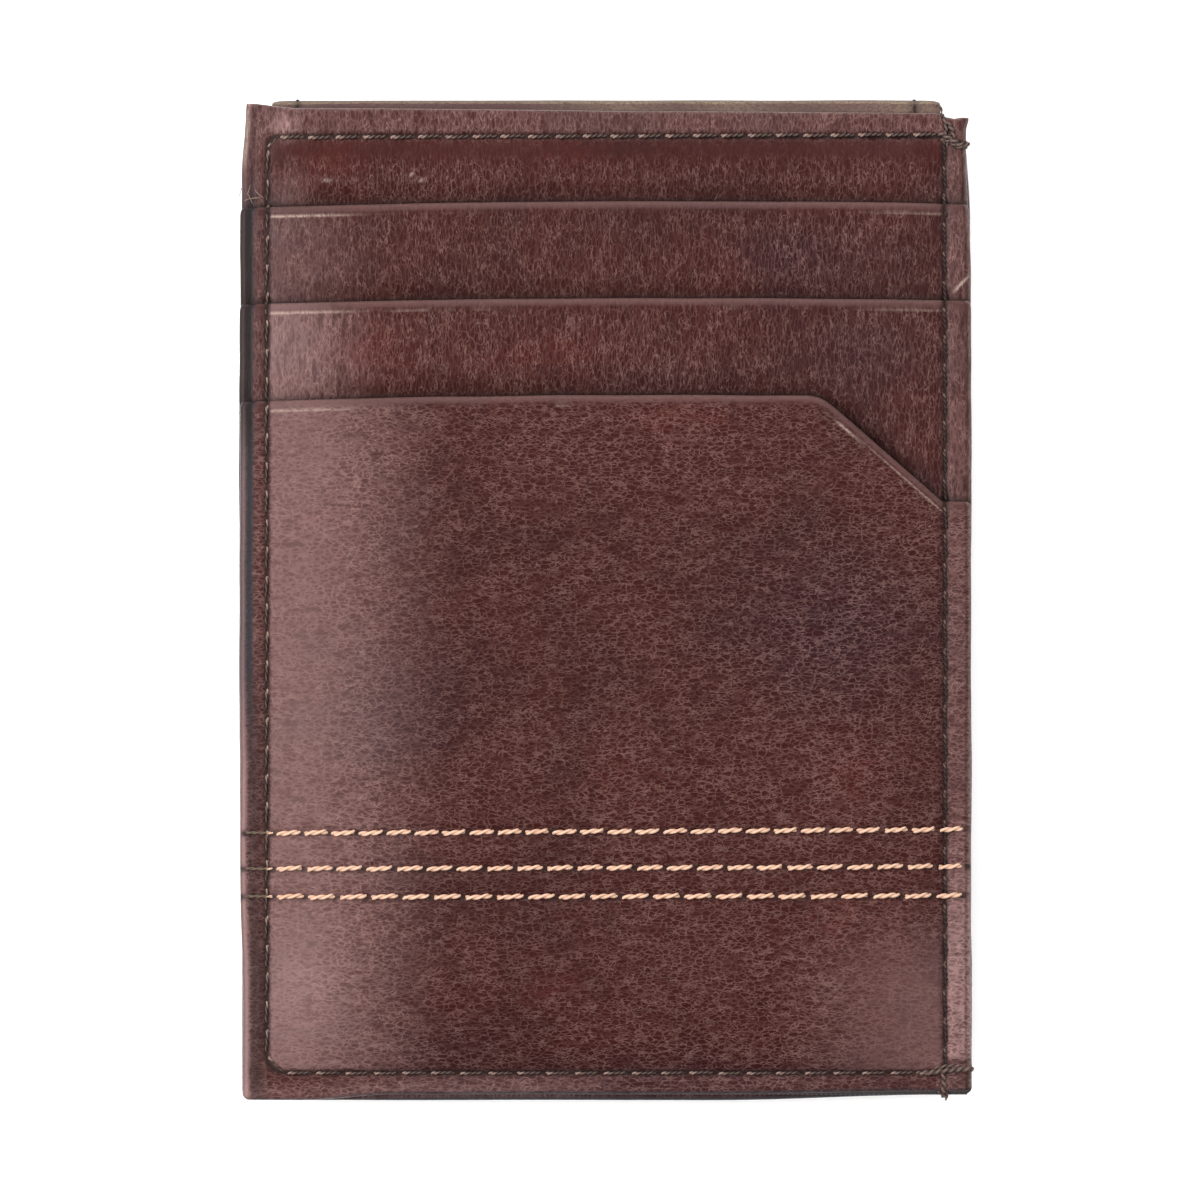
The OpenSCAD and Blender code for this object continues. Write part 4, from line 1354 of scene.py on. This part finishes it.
def build_lining(node, leaf):
    """Woven lining cut to its CAD size, glued flat and held by the seams round it."""
    low, high = box_mm(node)
    xs = with_edges(spaced((low[0], 1.6), (high[0], 1.6)))
    ys = with_edges(spaced((low[1], 1.6), (high[1], 1.6)))
    x, y = np.meshgrid(xs, ys, indexing="ij")
    middle, thick = (low[2] + high[2]) / 2, high[2] - low[2]
    slack = 0.012 * noise(x, y, 7, 7, 171 + leaf)
    if leaf >= 0:
        slack = slack + puff(leaf, x, y) * smooth((SEAM_X - np.abs(x)) / 1.5)
    rim = np.minimum(np.minimum(x - low[0], high[0] - x), np.minimum(y - low[1], high[1] - y))
    half = (thick / 2 - 0.02) * (1 - 0.8 * smooth(1 - rim / 0.3))
    points, faces, _ = slab(x, y, middle + half + slack, middle - half + slack, lambda a, b: {})
    piece = make_piece(node + "_cloth", points, faces, LINING)
    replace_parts(piece, node)


for k, node in enumerate(LININGS):
    build_lining(node, k - 1)

# The CAD nodes that stay take the look whose name is their slot's
NODE_LOOKS = {
    "leather": BACK_GRAIN, "leather_inside": INSIDE, "lining": LINING, "board": BOARD,
    "magnet": MAGNET, **THREADS,
}
for node in frame["nodes"].values():
    for slot in node.material_slots:
        key = slot.material.name.split(".")[0] if slot.material else ""
        match = [look for look in NODE_LOOKS if key == look or key.endswith(look)]
        slot.material = NODE_LOOKS[match[0]] if match else INSIDE

# ---------------------------------------------------------------- floor, light and camera


def build_floor():
    """A plain pale floor, just under the wallet."""
    mesh = bpy.data.meshes.new("floor")
    mesh.from_pydata([(-3, -3, 0), (3, -3, 0), (3, 3, 0), (-3, 3, 0)], [], [(0, 1, 2, 3)])
    mesh.materials.append(Nodes("floor_paper").shade({
        "Base Color": (0.93, 0.93, 0.93, 1), "Roughness": 0.9, "Specular IOR Level": 0.1,
        "Emission Color": (1, 1, 1, 1), "Emission Strength": 0.25,
    }))
    floor = add_object("floor", mesh)
    floor.location.z = -0.0001


def softbox(name, place, width, length, watts):
    """A soft light at a place in metres, aimed at the wallet's middle."""
    data = bpy.data.lights.new(name, "AREA")
    data.shape, data.size, data.size_y = "RECTANGLE", width, length
    data.energy = watts
    light = add_object(name, data)
    light.location = place
    towards = Vector((0, 0, 0.005)) - Vector(place)
    light.rotation_euler = towards.to_track_quat("-Z", "Y").to_euler()


def set_studio():
    """A white room, softboxes overhead, and banks that light the sides."""
    world = bpy.data.worlds.new("studio")
    world.use_nodes = True
    background = world.node_tree.nodes["Background"]
    background.inputs["Color"].default_value = (1, 1, 1, 1)
    background.inputs["Strength"].default_value = 0.10
    bpy.context.scene.world = world
    for light in (
        ("key_softbox", (-0.315, 0.03, 0.64), 0.25, 0.60, 5.2),
        ("right_softbox", (0.36, -0.18, 0.66), 0.20, 0.40, 1.0),
        ("top_softbox", (0.02, 0.37, 0.66), 0.45, 0.15, 1.6),
        ("left_bank", (-0.62, 0.05, 0.40), 0.30, 0.60, 3.8),
        ("upper_bank", (0.05, 0.66, 0.38), 0.60, 0.30, 4.6),
        ("right_bank", (0.62, 0.05, 0.40), 0.45, 0.80, 1.8),
        ("lower_bank", (-0.05, -0.62, 0.42), 0.80, 0.45, 1.6),
    ):
        softbox(*light)
    bpy.context.scene.view_settings.view_transform = "Standard"


# The width in metres that the camera takes in
FIELD = 0.126


def set_camera():
    """Straight above the wallet, from far off."""
    data = bpy.data.cameras.new("camera")
    data.lens, data.sensor_width = 400, 36
    data.clip_start, data.clip_end = 0.01, 10
    camera = add_object("camera", data)
    height = FIELD * data.lens / data.sensor_width
    camera.location = (-0.00063, -0.0001, height + 0.008)
    bpy.context.scene.camera = camera


build_floor()
set_studio()
set_camera()
